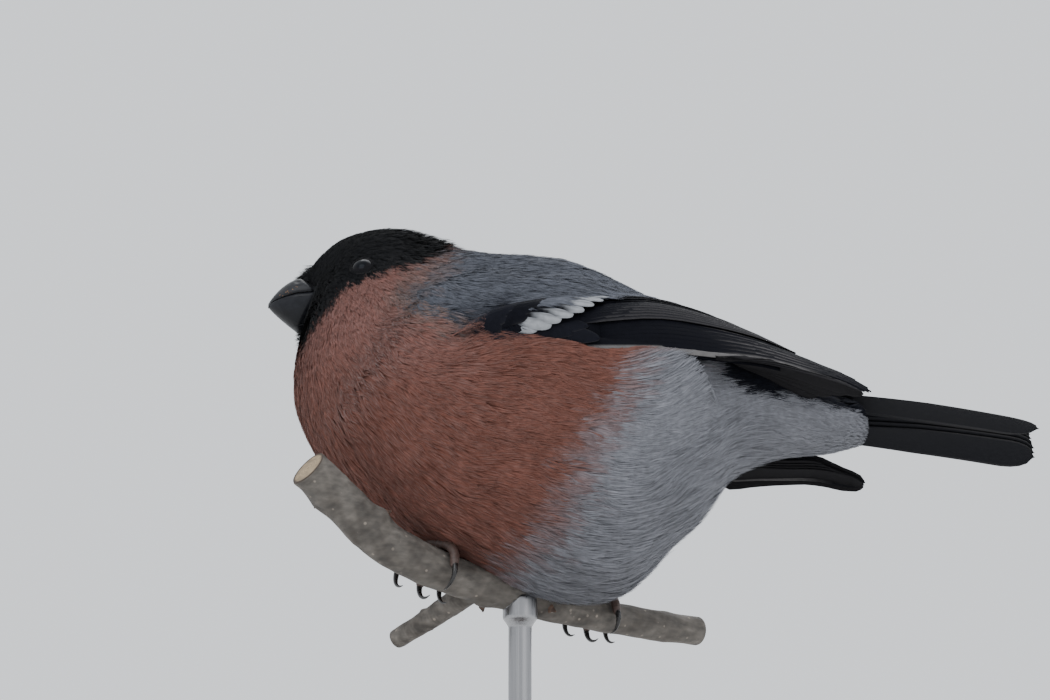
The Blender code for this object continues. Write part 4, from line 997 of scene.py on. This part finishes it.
def beak_lines(x):
    """Top, mouth line, bottom and half width of the beak at x."""
    q = np.clip((x - BEAK_TIP_X) / (BEAK_FEATHER_X - BEAK_TIP_X), 0, 1)
    top = BEAK_TIP_Z + 5.7 * (1 - (1 - q) ** 1.6) ** 0.86 + 0.28 * np.clip(x - BEAK_FEATHER_X, 0, None)
    mouth = BEAK_TIP_Z - 0.1 + 2.4 * np.minimum(q / 1.8, 1) ** 1.05 + 0.1 * np.clip(x - BEAK_FEATHER_X, 0, 3)
    low = BEAK_TIP_Z - 0.4 - 6.2 * q**0.85 - 0.3 * np.clip(x - BEAK_FEATHER_X, 0, 2)
    return top, mouth, low, 4.9 * (1 - (1 - q) ** 1.7) ** 0.72 + 0.06


def jaw_shape(upper):
    def shape(share, angle):
        x = BEAK_TIP_X + (BEAK_ROOT_X - BEAK_TIP_X) * share**1.7 + (0.0 if upper else 0.35) * (1 - share)
        top, mouth, low, half = beak_lines(x)
        rise, fall = np.clip(np.cos(angle), 0, 1), np.clip(-np.cos(angle), 0, 1)
        y = np.sin(angle) * half * (1.0 if upper else 0.965)
        closing = np.minimum(share / 0.04, 1.0) ** 0.5 * np.minimum((1 - share) / 0.04, 1.0) ** 0.5
        if upper:
            ridge = 0.20 * np.exp(-((np.sin(angle) / 0.22) ** 2)) * rise
            z = mouth + (top - mouth) * rise**0.92 - fall * 0.10 + ridge * closing
            z -= 0.55 * np.exp(-((x - BEAK_TIP_X) / 0.7) ** 2) * (rise < 0.3)
        else:
            z = mouth - 0.16 - (mouth - 0.16 - low) * fall**0.95 + rise * 0.05
        covered = x + 54.6 + (z - 71.0) * 0.9 if upper else x + 51.5 - (z - 70.0) * 0.55
        y = y * closing * (1 - (0.55 if upper else 0.3) * smooth(0.0, 1.9, covered))
        z = mouth + (z - mouth) * closing
        for side in (-1, 1):
            pit = np.exp(-(((x + 56.0) / 0.62) ** 2) - ((z - 71.2) / 0.42) ** 2) * (y * side > 0)
            y = y - side * 0.3 * pit * upper
        return np.stack((x, y, z), -1)

    return shape


horn_finish, horn_shader = plain_finish("beak_horn", (0.02, 0.02, 0.02), 0.36)
nodes, links = horn_finish.node_tree.nodes, horn_finish.node_tree.links
horn_paint, horn_place, flakes = (nodes.new(f"ShaderNode{kind}") for kind in ("Attribute", "TexCoord", "TexVoronoi"))
horn_paint.attribute_name = "plume"
flakes.inputs["Scale"].default_value = 2100.0
flake_edge, flake_area, flecked = (nodes.new(f"ShaderNode{kind}") for kind in ("MapRange", "Math", "Mix"))
flake_edge.inputs["From Min"].default_value = 0.30
flake_edge.inputs["From Max"].default_value = 0.18
flake_area.operation = "MULTIPLY"
flecked.data_type = "RGBA"
flecked.inputs["B"].default_value = (0.30, 0.155, 0.075, 1.0)
links.new(horn_place.outputs["Object"], flakes.inputs["Vector"])
links.new(flakes.outputs["Distance"], flake_edge.inputs["Value"])
links.new(flake_edge.outputs["Result"], flake_area.inputs[0])
links.new(horn_paint.outputs["Alpha"], flake_area.inputs[1])
links.new(flake_area.outputs["Value"], flecked.inputs["Factor"])
links.new(horn_paint.outputs["Color"], flecked.inputs["A"])
worn(horn_finish, horn_shader, 700.0, 0.22, 0.36, (1.0, 1.6, 1.6), 0.00006, flecked.outputs["Result"])
horn_shader.inputs["Coat Weight"].default_value = 0.05
horn_shader.inputs["Specular IOR Level"].default_value = 0.14
horn_shader.inputs["Coat Roughness"].default_value = 0.3

for upper in (True, False):
    name = "beak_upper" if upper else "beak_lower"
    jaw, share, angle = shaped_ball(f"{name}_horn", 72, 72, jaw_shape(upper))
    spot = jaw_shape(upper)(share, angle)
    top, mouth, low, half = beak_lines(spot[:, 0])
    over_mouth = (spot[:, 2] - mouth) / (top - mouth)
    band = smooth(0.02, 0.2, over_mouth) * (1 - smooth(0.35, 0.75, over_mouth)) if upper else 0 * share
    shade = np.array((0.0085, 0.009, 0.011)) + 0 * share[:, None]
    shade = shade + (np.array((0.026, 0.027, 0.031)) - shade) * (band * smooth(-61.5, -59.0, spot[:, 0]))[:, None] * 0.75
    if not upper:
        keel = smooth(0.15, 0.7, (spot[:, 2] - low) / (mouth - low))
        shade = shade * (0.75 + 0.85 * keel[:, None])
    paint_points(jaw, shade)
    flecks = smooth(0.02, 0.10, over_mouth) * (1 - smooth(0.22, 0.42, over_mouth)) * float(upper)
    flecks = flecks * smooth(-60.8, -59.8, spot[:, 0]) * (1 - smooth(-56.0, -55.0, spot[:, 0]))
    rgba = np.concatenate((shade, flecks[:, None] + 0 * shade[:, :1]), axis=1).astype(np.float32)
    jaw.data.attributes["plume"].data.foreach_set("color", rgba.ravel())
    jaw.data.materials.append(horn_finish)
    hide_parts(name)


# Eyes. A dark glossy ball in each socket, brown-black with a black pupil, inside a thin ring of bare black
# lid. A finer pale line runs round the outside of the lid, broken where the feathers cross it.
def facing_frame(mirror):
    out = EYE_FACING * mirror
    out = out / np.linalg.norm(out)
    ahead = np.cross(out, (0, 0, 1.0))
    ahead /= np.linalg.norm(ahead)
    return out, ahead, np.cross(ahead, out)


def eye_shape(mirror):
    out, ahead, up = facing_frame(mirror)

    def shape(share, angle):
        level, flat = np.cos(share * math.pi), np.sin(share * math.pi)
        around = ahead * np.cos(angle)[:, None] + up * np.sin(angle)[:, None]
        return EYE_PLACE * mirror + 3.08 * (out * level[:, None] + around * flat[:, None])

    return shape


def lid_shape(mirror, ring, wide, tall, lift):
    """A ring round the eye: a ball whose pole-to-pole run goes round the lid's section, shut into a tube."""
    out, ahead, up = facing_frame(mirror)

    def shape(around, section):
        centre = ahead * np.cos(around)[:, None] + up * np.sin(around)[:, None]
        almond = 1 + 0.05 * np.cos(2 * around) + 0.05 * np.clip(np.cos(around - 0.2), 0, 1) ** 8
        inward = ring * almond + wide * np.cos(section)
        level = lift + tall * np.sin(section) - 0.55 * (inward - ring)
        level = level + 0.035 * np.sin(around * 23.0) * np.sin(section)
        return EYE_PLACE * mirror + centre * inward[:, None] + out * level[:, None]

    return shape


eye_finish, eye_shader = plain_finish("eye", (0.01, 0.01, 0.01), 0.06)
eye_paint = eye_finish.node_tree.nodes.new("ShaderNodeAttribute")
eye_paint.attribute_name = "plume"
worn(eye_finish, eye_shader, 2500.0, 0.25, 0.07, colour_from=eye_paint.outputs["Color"])
for link in list(eye_shader.inputs["Roughness"].links):
    eye_finish.node_tree.links.remove(link)
eye_shader.inputs["Roughness"].default_value = 0.18
eye_shader.inputs["Coat Weight"].default_value = 0.012
eye_shader.inputs["Specular IOR Level"].default_value = 0.10
eye_shader.inputs["Specular Tint"].default_value = (0.75, 0.85, 1.0, 1.0)
eye_shader.inputs["Coat Roughness"].default_value = 0.02
lid_finish = feather_finish("eyelid", 0.6, 0.0, (1.0, 1.0, 1.0), 0.03)

for side, mirror in (("left", np.array((1.0, 1.0, 1.0))), ("right", np.array((1.0, -1.0, 1.0)))):
    eye, share, angle = shaped_ball(f"eyeball_{side}", 64, 64, eye_shape(mirror))
    iris = smooth(0.115, 0.135, share)[:, None] * (1 - smooth(0.235, 0.26, share))[:, None]
    rays = 1 + 0.35 * np.sin(angle * 31.0)[:, None] * np.sin(share * 90.0)[:, None]
    paint_points(eye, np.array((0.0028, 0.003, 0.004)) + np.array((0.004, 0.0028, 0.0024)) * iris * rays)
    eye.data.materials.append(eye_finish)
    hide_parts(f"eye_{side}")
    bpy.ops.mesh.primitive_torus_add(major_segments=96, minor_segments=20, major_radius=1.0, minor_radius=0.25)
    lid = bpy.context.object
    lid.name = f"lid_{side}"
    ring = np.empty(len(lid.data.vertices) * 3)
    lid.data.vertices.foreach_get("co", ring)
    ring = ring.reshape(-1, 3)
    around = np.arctan2(ring[:, 1], ring[:, 0])
    section = np.arctan2(ring[:, 2], np.hypot(ring[:, 0], ring[:, 1]) - 1.0)
    spot = lid_shape(mirror, 2.30, 0.40, 0.30, 2.06)(around, section)
    lid.data.vertices.foreach_set("co", ((spot + BIRD_PLACE) * MM).ravel())
    bpy.ops.object.mode_set(mode="EDIT")
    bpy.ops.mesh.select_all(action="SELECT")
    bpy.ops.mesh.normals_make_consistent(inside=False)
    bpy.ops.object.mode_set(mode="OBJECT")
    bpy.ops.object.shade_smooth()
    lid.data.uv_layers[0].name = "OFBake"
    pale = np.exp(-(((section - 0.75) / 0.42) ** 2)) * smooth(-0.5, 0.5, np.sin(around * 3.0 + 1.0) + 0.35)
    paint_points(lid, np.array((0.008, 0.008, 0.009)) + np.array((0.026, 0.025, 0.025)) * pale[:, None])
    lid.data.materials.append(lid_finish)
    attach(lid, "root")
    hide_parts("head")


# Bristles. Short stiff black hairs of the face: a tuft lying forward over the nostrils, a few at the corner
# of the mouth and a loose fringe under the chin.
def bristles(name, count, seed):
    draw = np.random.default_rng(seed)
    angle = np.where(draw.uniform(0, 1, count) < 0.5, draw.normal(0, 0.8, count), draw.uniform(0, 2 * math.pi, count))
    u = draw.uniform(0.15, 1.5, count)
    root = look(surface, u, angle)
    normal = look(surface_normal, u, angle)
    heading = np.array((-1.0, 0.0, 0.0)) + normal * 0.16 + draw.normal(0, 0.13, (count, 3))
    top_side, chin = smooth(0.3, 0.8, np.cos(angle)), smooth(0.5, 0.9, -np.cos(angle))
    heading[:, 2] += -0.34 * top_side - 0.35 * chin
    heading /= np.linalg.norm(heading, axis=-1, keepdims=True)
    length = draw.uniform(1.6, 3.0, count) * (1 - 0.3 * chin) * (0.55 + 0.45 * np.abs(np.cos(angle)))
    shells = []
    for i in range(count):
        s = np.linspace(0, 1, 6)
        curve = root[i] - normal[i] * 0.5 + heading[i] * (length[i] * s)[:, None]
        curve[:, 2] -= (0.5 * s**2) * (0.6 if chin[i] > 0.5 else 0.2)
        side = np.cross(heading[i], normal[i])
        side /= np.linalg.norm(side)
        half = 0.09 * (1 - s) ** 0.7 + 0.012
        rails = np.stack((curve - side * half[:, None], curve + side * half[:, None]), 1)
        shell, faces = closed_shell(rails, rails - normal[i] * (half * 0.8)[:, None, None])
        tint = np.tile(BLACK * draw.uniform(0.8, 1.6), (len(shell), 1))
        flat = np.stack((np.tile((0.0, 0.1), 6), np.repeat(s * 3, 2)), 1)
        shells.append((shell, faces, tint, np.concatenate((flat, flat))))
    return gather(name, shells, plume_finish)


whiskers = bristles("bristles", 640, 77)
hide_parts("head")


# Perch. A short length of grey-brown branch, cut clean at both ends, bent under the bird, with one broken
# side twig and a few small buds. The bark is ridged along its length, knotted and dotted with pale pores.
PERCH = np.array(
    ((-49, -30, 23.5, 3.9), (-43, -25, 18.2, 4.1), (-36.5, -20, 12.6, 4.2), (-29, -14.6, 8.6, 4.1), (-20, -8, 6, 3.8),
     (-10, -0.5, 4.4, 3.6), (0, 6.8, 2.9, 3.5), (9, 13.4, 2, 3.4), (20, 21.4, 1.4, 3.3), (31, 29.4, 1.2, 3.1))
)
PERCH_LENGTH = 105.0
TWIG = np.array(((-17, -6, 4.6, 2.6), (-25, 2, 0.6, 2.3), (-34, 9.5, -3.6, 2.0)))
BUDS = ((0.08, 200.0, 1.5), (0.20, 60.0, 1.2), (0.50, 250.0, 1.3), (0.62, 330.0, 1.4), (0.92, 170.0, 1.2))
UPWARD = np.array((0.0, 0.0, 1.0))


def along_path(path, share):
    """Centre, radius and direction of a path of points and radii at shares of its length."""
    u = share * (len(path) - 1)
    row = along_rows(path, u)
    step = 0.02
    ahead = along_rows(path, np.minimum(u + step, len(path) - 1.0))
    behind = along_rows(path, np.maximum(u - step, 0.0))
    heading = ahead[..., :3] - behind[..., :3]
    return row[..., :3], row[..., 3], heading / np.linalg.norm(heading, axis=-1, keepdims=True)


def rod_shape(path, caps, rounded, aside, relief):
    """Shape of a ball drawn out along a path. caps is the share of the ball kept for each end; relief thickens it."""

    def shape(share, angle):
        end = np.minimum(np.minimum(share, 1 - share) / caps, 1.0)
        run = np.clip((share - caps) / (1 - 2 * caps), 0, 1)
        centre, radius, heading = along_path(path, run)
        side = np.cross(heading, aside)
        side /= np.linalg.norm(side, axis=-1, keepdims=True)
        up = np.cross(side, heading)
        thick = radius * (1 + relief(run, angle) * (end >= 1))
        closing = np.sin(end * math.pi / 2) if rounded else end
        bulge = np.where(share < 0.5, -1, 1) * (np.cos(end * math.pi / 2) * rounded * radius)
        out = side * np.cos(angle)[:, None] + up * np.sin(angle)[:, None]
        return centre + heading * bulge[:, None] + out * (thick * closing)[:, None]

    return shape


def bark_relief(seed, knots):
    def relief(run, angle):
        place = np.stack((np.cos(angle) * 3.5, np.sin(angle) * 3.5, run * 105.0), -1)
        ridges = 0.022 * soft_noise(place * np.array((2.4, 2.4, 0.5)), 3.0, seed) + 0.03 * soft_noise(place, 9.0, seed + 1)
        for at, towards, size in knots:
            turn = (angle - math.radians(towards) + math.pi) % (2 * math.pi) - math.pi
            near = np.exp(-(((run - at) * PERCH_LENGTH / 2.4) ** 2) - (turn / 0.7) ** 2)
            ring = np.exp(-((((run - at) * PERCH_LENGTH) / 0.8) ** 2)) * 0.03
            ridges = ridges + size * near + ring
        return ridges

    return relief


bark_finish, bark_shader = plain_finish("bark", (0.08, 0.07, 0.06), 0.85)
nodes, links = bark_finish.node_tree.nodes, bark_finish.node_tree.links
bark_paint, bark_place, pores = (nodes.new(f"ShaderNode{kind}") for kind in ("Attribute", "TexCoord", "TexVoronoi"))
bark_paint.attribute_name = "plume"
pores.inputs["Scale"].default_value = 420.0
pore_edge, pore_area, dotted = (nodes.new(f"ShaderNode{kind}") for kind in ("MapRange", "Math", "Mix"))
pore_edge.inputs["From Min"].default_value = 0.16
pore_edge.inputs["From Max"].default_value = 0.09
pore_area.operation = "MULTIPLY"
dotted.data_type = "RGBA"
dotted.inputs["B"].default_value = (0.22, 0.19, 0.16, 1.0)
links.new(bark_place.outputs["Object"], pores.inputs["Vector"])
links.new(pores.outputs["Distance"], pore_edge.inputs["Value"])
links.new(pore_edge.outputs["Result"], pore_area.inputs[0])
links.new(bark_paint.outputs["Alpha"], pore_area.inputs[1])
links.new(pore_area.outputs["Value"], dotted.inputs["Factor"])
links.new(bark_paint.outputs["Color"], dotted.inputs["A"])
worn(bark_finish, bark_shader, 520.0, 0.45, 0.85, (0.55, 0.75, 1.6), 0.0004, dotted.outputs["Result"])


def bark_colours(obj, share, angle, caps):
    """Bark colour round a rod, with pale growth rings on the cut ends."""
    end = np.minimum(np.minimum(share, 1 - share) / caps, 1.0)
    mottle = np.stack((np.cos(angle) * 3.5, np.sin(angle) * 3.5, share * 105.0), -1)
    tone = np.clip(0.5 + 0.35 * soft_noise(mottle, 6.0, 61) + 0.25 * soft_noise(mottle, 2.0, 62), 0, 1)[:, None]
    bark = np.array((0.060, 0.052, 0.045)) * (1 - tone) + np.array((0.135, 0.122, 0.108)) * tone
    rings = 0.85 + 0.15 * np.sin(end * 42.0)
    wood = np.array((0.33, 0.25, 0.16)) * rings[:, None]
    wood = np.where((end > 0.88)[:, None], np.array((0.05, 0.035, 0.025)), wood)
    wood = np.where((end < 0.07)[:, None], np.array((0.12, 0.08, 0.05)), wood)
    colour = np.where((end >= 1)[:, None], bark, wood)
    paint_points(obj, colour)
    rgba = np.concatenate((colour, (end >= 1)[:, None]), axis=1).astype(np.float32)
    obj.data.attributes["plume"].data.foreach_set("color", rgba.ravel())


PERCH_KNOTS = ((0.08, 200.0, 0.22), (0.20, 60.0, 0.18), (0.50, 250.0, 0.16), (0.62, 330.0, 0.18), (0.92, 170.0, 0.18))
for name, path, segments, rings, caps, knots in (
    ("branch", PERCH, 72, 240, 0.05, PERCH_KNOTS),
    ("branch_twig", TWIG, 40, 90, 0.09, ((0.62, 80.0, 0.2),)),
):
    limb, share, angle = shaped_ball(
        name, segments, rings, rod_shape(path, caps, False, UPWARD, bark_relief(len(name), knots))
    )
    bark_colours(limb, share, angle, caps)
    limb.data.materials.append(bark_finish)
    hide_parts("perch")

for number, (at, towards, size) in enumerate(BUDS):
    centre, radius, heading = along_path(PERCH, np.array(at))
    level = np.cross(heading, UPWARD)
    level /= np.linalg.norm(level)
    out = level * math.cos(math.radians(towards)) + np.cross(level, heading) * math.sin(math.radians(towards))
    lean = out + heading * 0.5
    lean /= np.linalg.norm(lean)
    foot = centre + out * (radius - 1.0)
    bud_path = np.array(
        [(*(foot + lean * size * s), size * w) for s, w in ((0, 0.62), (0.8, 0.72), (1.5, 0.46), (2.1, 0.12))]
    )
    scales = lambda run, angle: 0.09 * np.sin(run * 14.0 + 1.3 * np.sin(angle)) + 0.05 * np.cos(angle * 4)
    bud, share, angle = shaped_ball(f"bud_{number}", 28, 40, rod_shape(bud_path, 0.1, True, heading, scales))
    colour = np.array((0.075, 0.045, 0.032)) * (0.7 + 0.6 * smooth(-0.5, 0.8, np.sin(share * 14.0)))[:, None]
    paint_points(bud, colour)
    bud.data.materials.append(bark_finish)
    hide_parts("perch")


# Legs. Short scaly brown shanks come out of the belly feathers, three toes go over the front of the branch
# and one behind it, each with soft pads below and a curved black claw.
FOOT_PLACE = {"left": 0.385, "right": 0.775}
TOES = ((-5.5, 104.0), (0.0, 118.0), (5.0, 100.0), (1.0, -84.0))


def foot_frame(side, splay):
    """The perch under a foot, splay millimetres along it: axis point, radius, along, front and up."""
    centre, radius, along = along_path(PERCH, np.asarray(FOOT_PLACE[side] + splay / PERCH_LENGTH))
    front = np.cross(UPWARD, along)
    front /= np.linalg.norm(front, axis=-1, keepdims=True)
    front = np.where(front[..., :1] > 0, -front, front)
    up = np.cross(along, front)
    return centre, radius, along, front, np.where(up[..., 2:] < 0, -up, up)


def toe_paths(side, splay, reach):
    """Paths of one toe and of its claw, wrapped round the perch."""
    share = np.linspace(0, 1, 9)
    angle = np.radians(reach * share)
    centre, radius, _, front, up = foot_frame(side, splay * np.minimum(share * 1.4, 1.0))
    lift = radius + 0.3 + 1.2 - 0.25 * share
    round_it = up * np.cos(angle)[:, None] + front * np.sin(angle)[:, None]
    toe = np.concatenate((centre + round_it * lift[:, None], (1.12 - 0.27 * share)[:, None]), axis=1)
    share = np.linspace(0, 1, 7)
    angle = np.radians(reach - math.copysign(6, reach) + math.copysign(68, reach) * share)
    lift = radius[-1] + 0.3 + 0.9 + 1.3 * np.sin(math.pi * share * 0.8) - 0.4 * share
    round_it = up[-1] * np.cos(angle)[:, None] + front[-1] * np.sin(angle)[:, None]
    claw = np.concatenate((centre[-1] + round_it * lift[:, None], (0.64 * (1 - share) ** 0.8 + 0.07)[:, None]), axis=1)
    return toe, claw


def toe_relief(run, angle):
    """Cross scales over the top of a toe and soft pads under its joints."""
    over = smooth(-0.2, 0.6, np.cos(angle))
    scales = 0.045 * (1 - ((run * 11.0) % 1.0) ** 3) * over
    return scales + 0.16 * (1 - over) * np.maximum(np.sin(run * 3 * math.pi), 0) ** 2 - 0.02


def shank_relief(run, angle):
    over = smooth(-0.3, 0.5, np.cos(angle))
    return 0.05 * (1 - ((run * 7.0) % 1.0) ** 4) * over


leg_finish, leg_shader = plain_finish("leg_skin", (0.05, 0.03, 0.025), 0.5)
leg_paint = leg_finish.node_tree.nodes.new("ShaderNodeAttribute")
leg_paint.attribute_name = "plume"
worn(leg_finish, leg_shader, 1500.0, 0.3, 0.5, relief=0.00012, colour_from=leg_paint.outputs["Color"])
claw_finish, claw_shader = plain_finish("claw_horn", (0.012, 0.011, 0.011), 0.3)
worn(claw_finish, claw_shader, 1300.0, 0.3, 0.3, (1.0, 1.0, 2.0), 0.00003)

for side in ("left", "right"):
    centre, radius, along, front, up = foot_frame(side, 0.0)
    knuckle = centre + up * (radius + 0.3 + 1.2)
    lean = UPWARD - front * 0.55 - np.array((0, knuckle[1], 0)) / abs(knuckle[1]) * 0.12
    lean /= np.linalg.norm(lean)
    shank = np.array([(*(knuckle + lean * s), w) for s, w in ((-0.2, 1.30), (2, 1.12), (6, 1.08), (10.5, 1.2))])
    pieces = [(f"shank_{side}", shank, 28, 60, shank_relief, "leg_skin")]
    for number, (splay, reach) in enumerate(TOES):
        toe, claw = toe_paths(side, splay, reach)
        pieces.append((f"toe_{side}_{number}", toe, 28, 66, toe_relief, "leg_skin"))
        pieces.append((f"claw_{side}_{number}", claw, 20, 36, lambda run, angle: 0 * run, "horn"))
    for name, path, segments, rings, relief, slot in pieces:
        limb, share, angle = shaped_ball(name, segments, rings, rod_shape(path, 0.08, True, along, relief))
        if slot == "leg_skin":
            gaps = smooth(0.75, 0.98, (share * 11.0) % 1.0)[:, None]
            paint_points(limb, np.array((0.058, 0.036, 0.030)) * (1.15 - 0.5 * gaps))
        limb.data.materials.append(leg_finish if slot == "leg_skin" else claw_finish)
        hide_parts(f"leg_{side}")


# Stand. A turned disc of dark stained wood on the floor, and a brushed steel rod whose shallow cup carries
# the branch from below.
def turned(profile):
    """Shape of a ball turned to a profile of (share, radius, height) rows, in world millimetres."""
    rows = np.array(profile)

    def shape(share, angle):
        radius, height = np.interp(share, rows[:, 0], rows[:, 1]), np.interp(share, rows[:, 0], rows[:, 2])
        return np.stack((radius * np.cos(angle), radius * np.sin(angle), height), -1) - BIRD_PLACE

    return shape


base_profile = ((0, 0, 9), (0.20, 38, 9), (0.26, 41.6, 9), (0.285, 42.1, 8.95), (0.30, 42.5, 8.7), (0.32, 43.2, 7.9),
    (0.34, 43.6, 7.5), (0.37, 43.0, 7.0), (0.40, 42.6, 6.2), (0.44, 42.6, 4.6), (0.48, 43.0, 3.8), (0.52, 43.8, 3.3),
    (0.56, 44.0, 2.6), (0.62, 44.0, 0.8), (0.65, 43.7, 0.15), (0.67, 43.2, 0.0), (0.80, 30, 0), (1, 0, 0))
base, share, angle = shaped_ball("turned_base", 160, 150, turned(base_profile))
wood_finish, wood_shader = plain_finish("stained_wood", (0.050, 0.024, 0.013), 0.42)
worn(wood_finish, wood_shader, 260.0, 0.55, 0.40, (0.12, 1.2, 1.2), 0.00008)
wood_shader.inputs["Coat Weight"].default_value = 0.35
wood_shader.inputs["Coat Roughness"].default_value = 0.25
base.data.materials.append(wood_finish)
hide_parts("stand_base")

rod_profile = ((0, 0, 73.6), (0.06, 3.3, 73.6), (0.075, 3.55, 73.3), (0.09, 3.6, 72.8), (0.20, 3.6, 69.4), (0.22, 3.5, 69.0),
    (0.25, 2.9, 68.2), (0.28, 2.42, 67.4), (0.30, 2.4, 66.5), (0.80, 2.4, 13.2), (0.81, 3.1, 13.0), (0.83, 3.6, 12.4),
    (0.86, 3.6, 10.0), (0.87, 3.4, 9.35), (0.88, 3.0, 9.3), (1, 0, 9.3))
rod_turned = turned(rod_profile)
saddle_centre, saddle_radius, saddle_along = along_path(PERCH, np.array(0.505))


def rod_cup(share, angle):
    """The turned rod, its top hollowed to the underside of the branch."""
    points = rod_turned(share, angle)
    off = points - saddle_centre
    off[:, 2] = 0
    along = saddle_along / np.linalg.norm(saddle_along[:2])
    aside = off[:, 0] * along[1] - off[:, 1] * along[0]
    slope = (off[:, 0] * along[0] + off[:, 1] * along[1]) * along[2]
    under = saddle_centre[2] + slope - np.sqrt(np.clip((saddle_radius + 0.1) ** 2 - aside**2, 0, None))
    points[:, 2] = np.where(share < 0.1, np.minimum(points[:, 2], under), points[:, 2])
    return points


rod, share, angle = shaped_ball("steel_rod", 64, 160, rod_cup)
steel_finish, steel_shader = plain_finish("brushed_steel", (0.30, 0.30, 0.31), 0.33)
steel_shader.inputs["Metallic"].default_value = 1.0
worn(steel_finish, steel_shader, 900.0, 0.10, 0.33, (4.0, 4.0, 0.04), 0.00002)
rod.data.materials.append(steel_finish)
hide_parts("stand_rod")
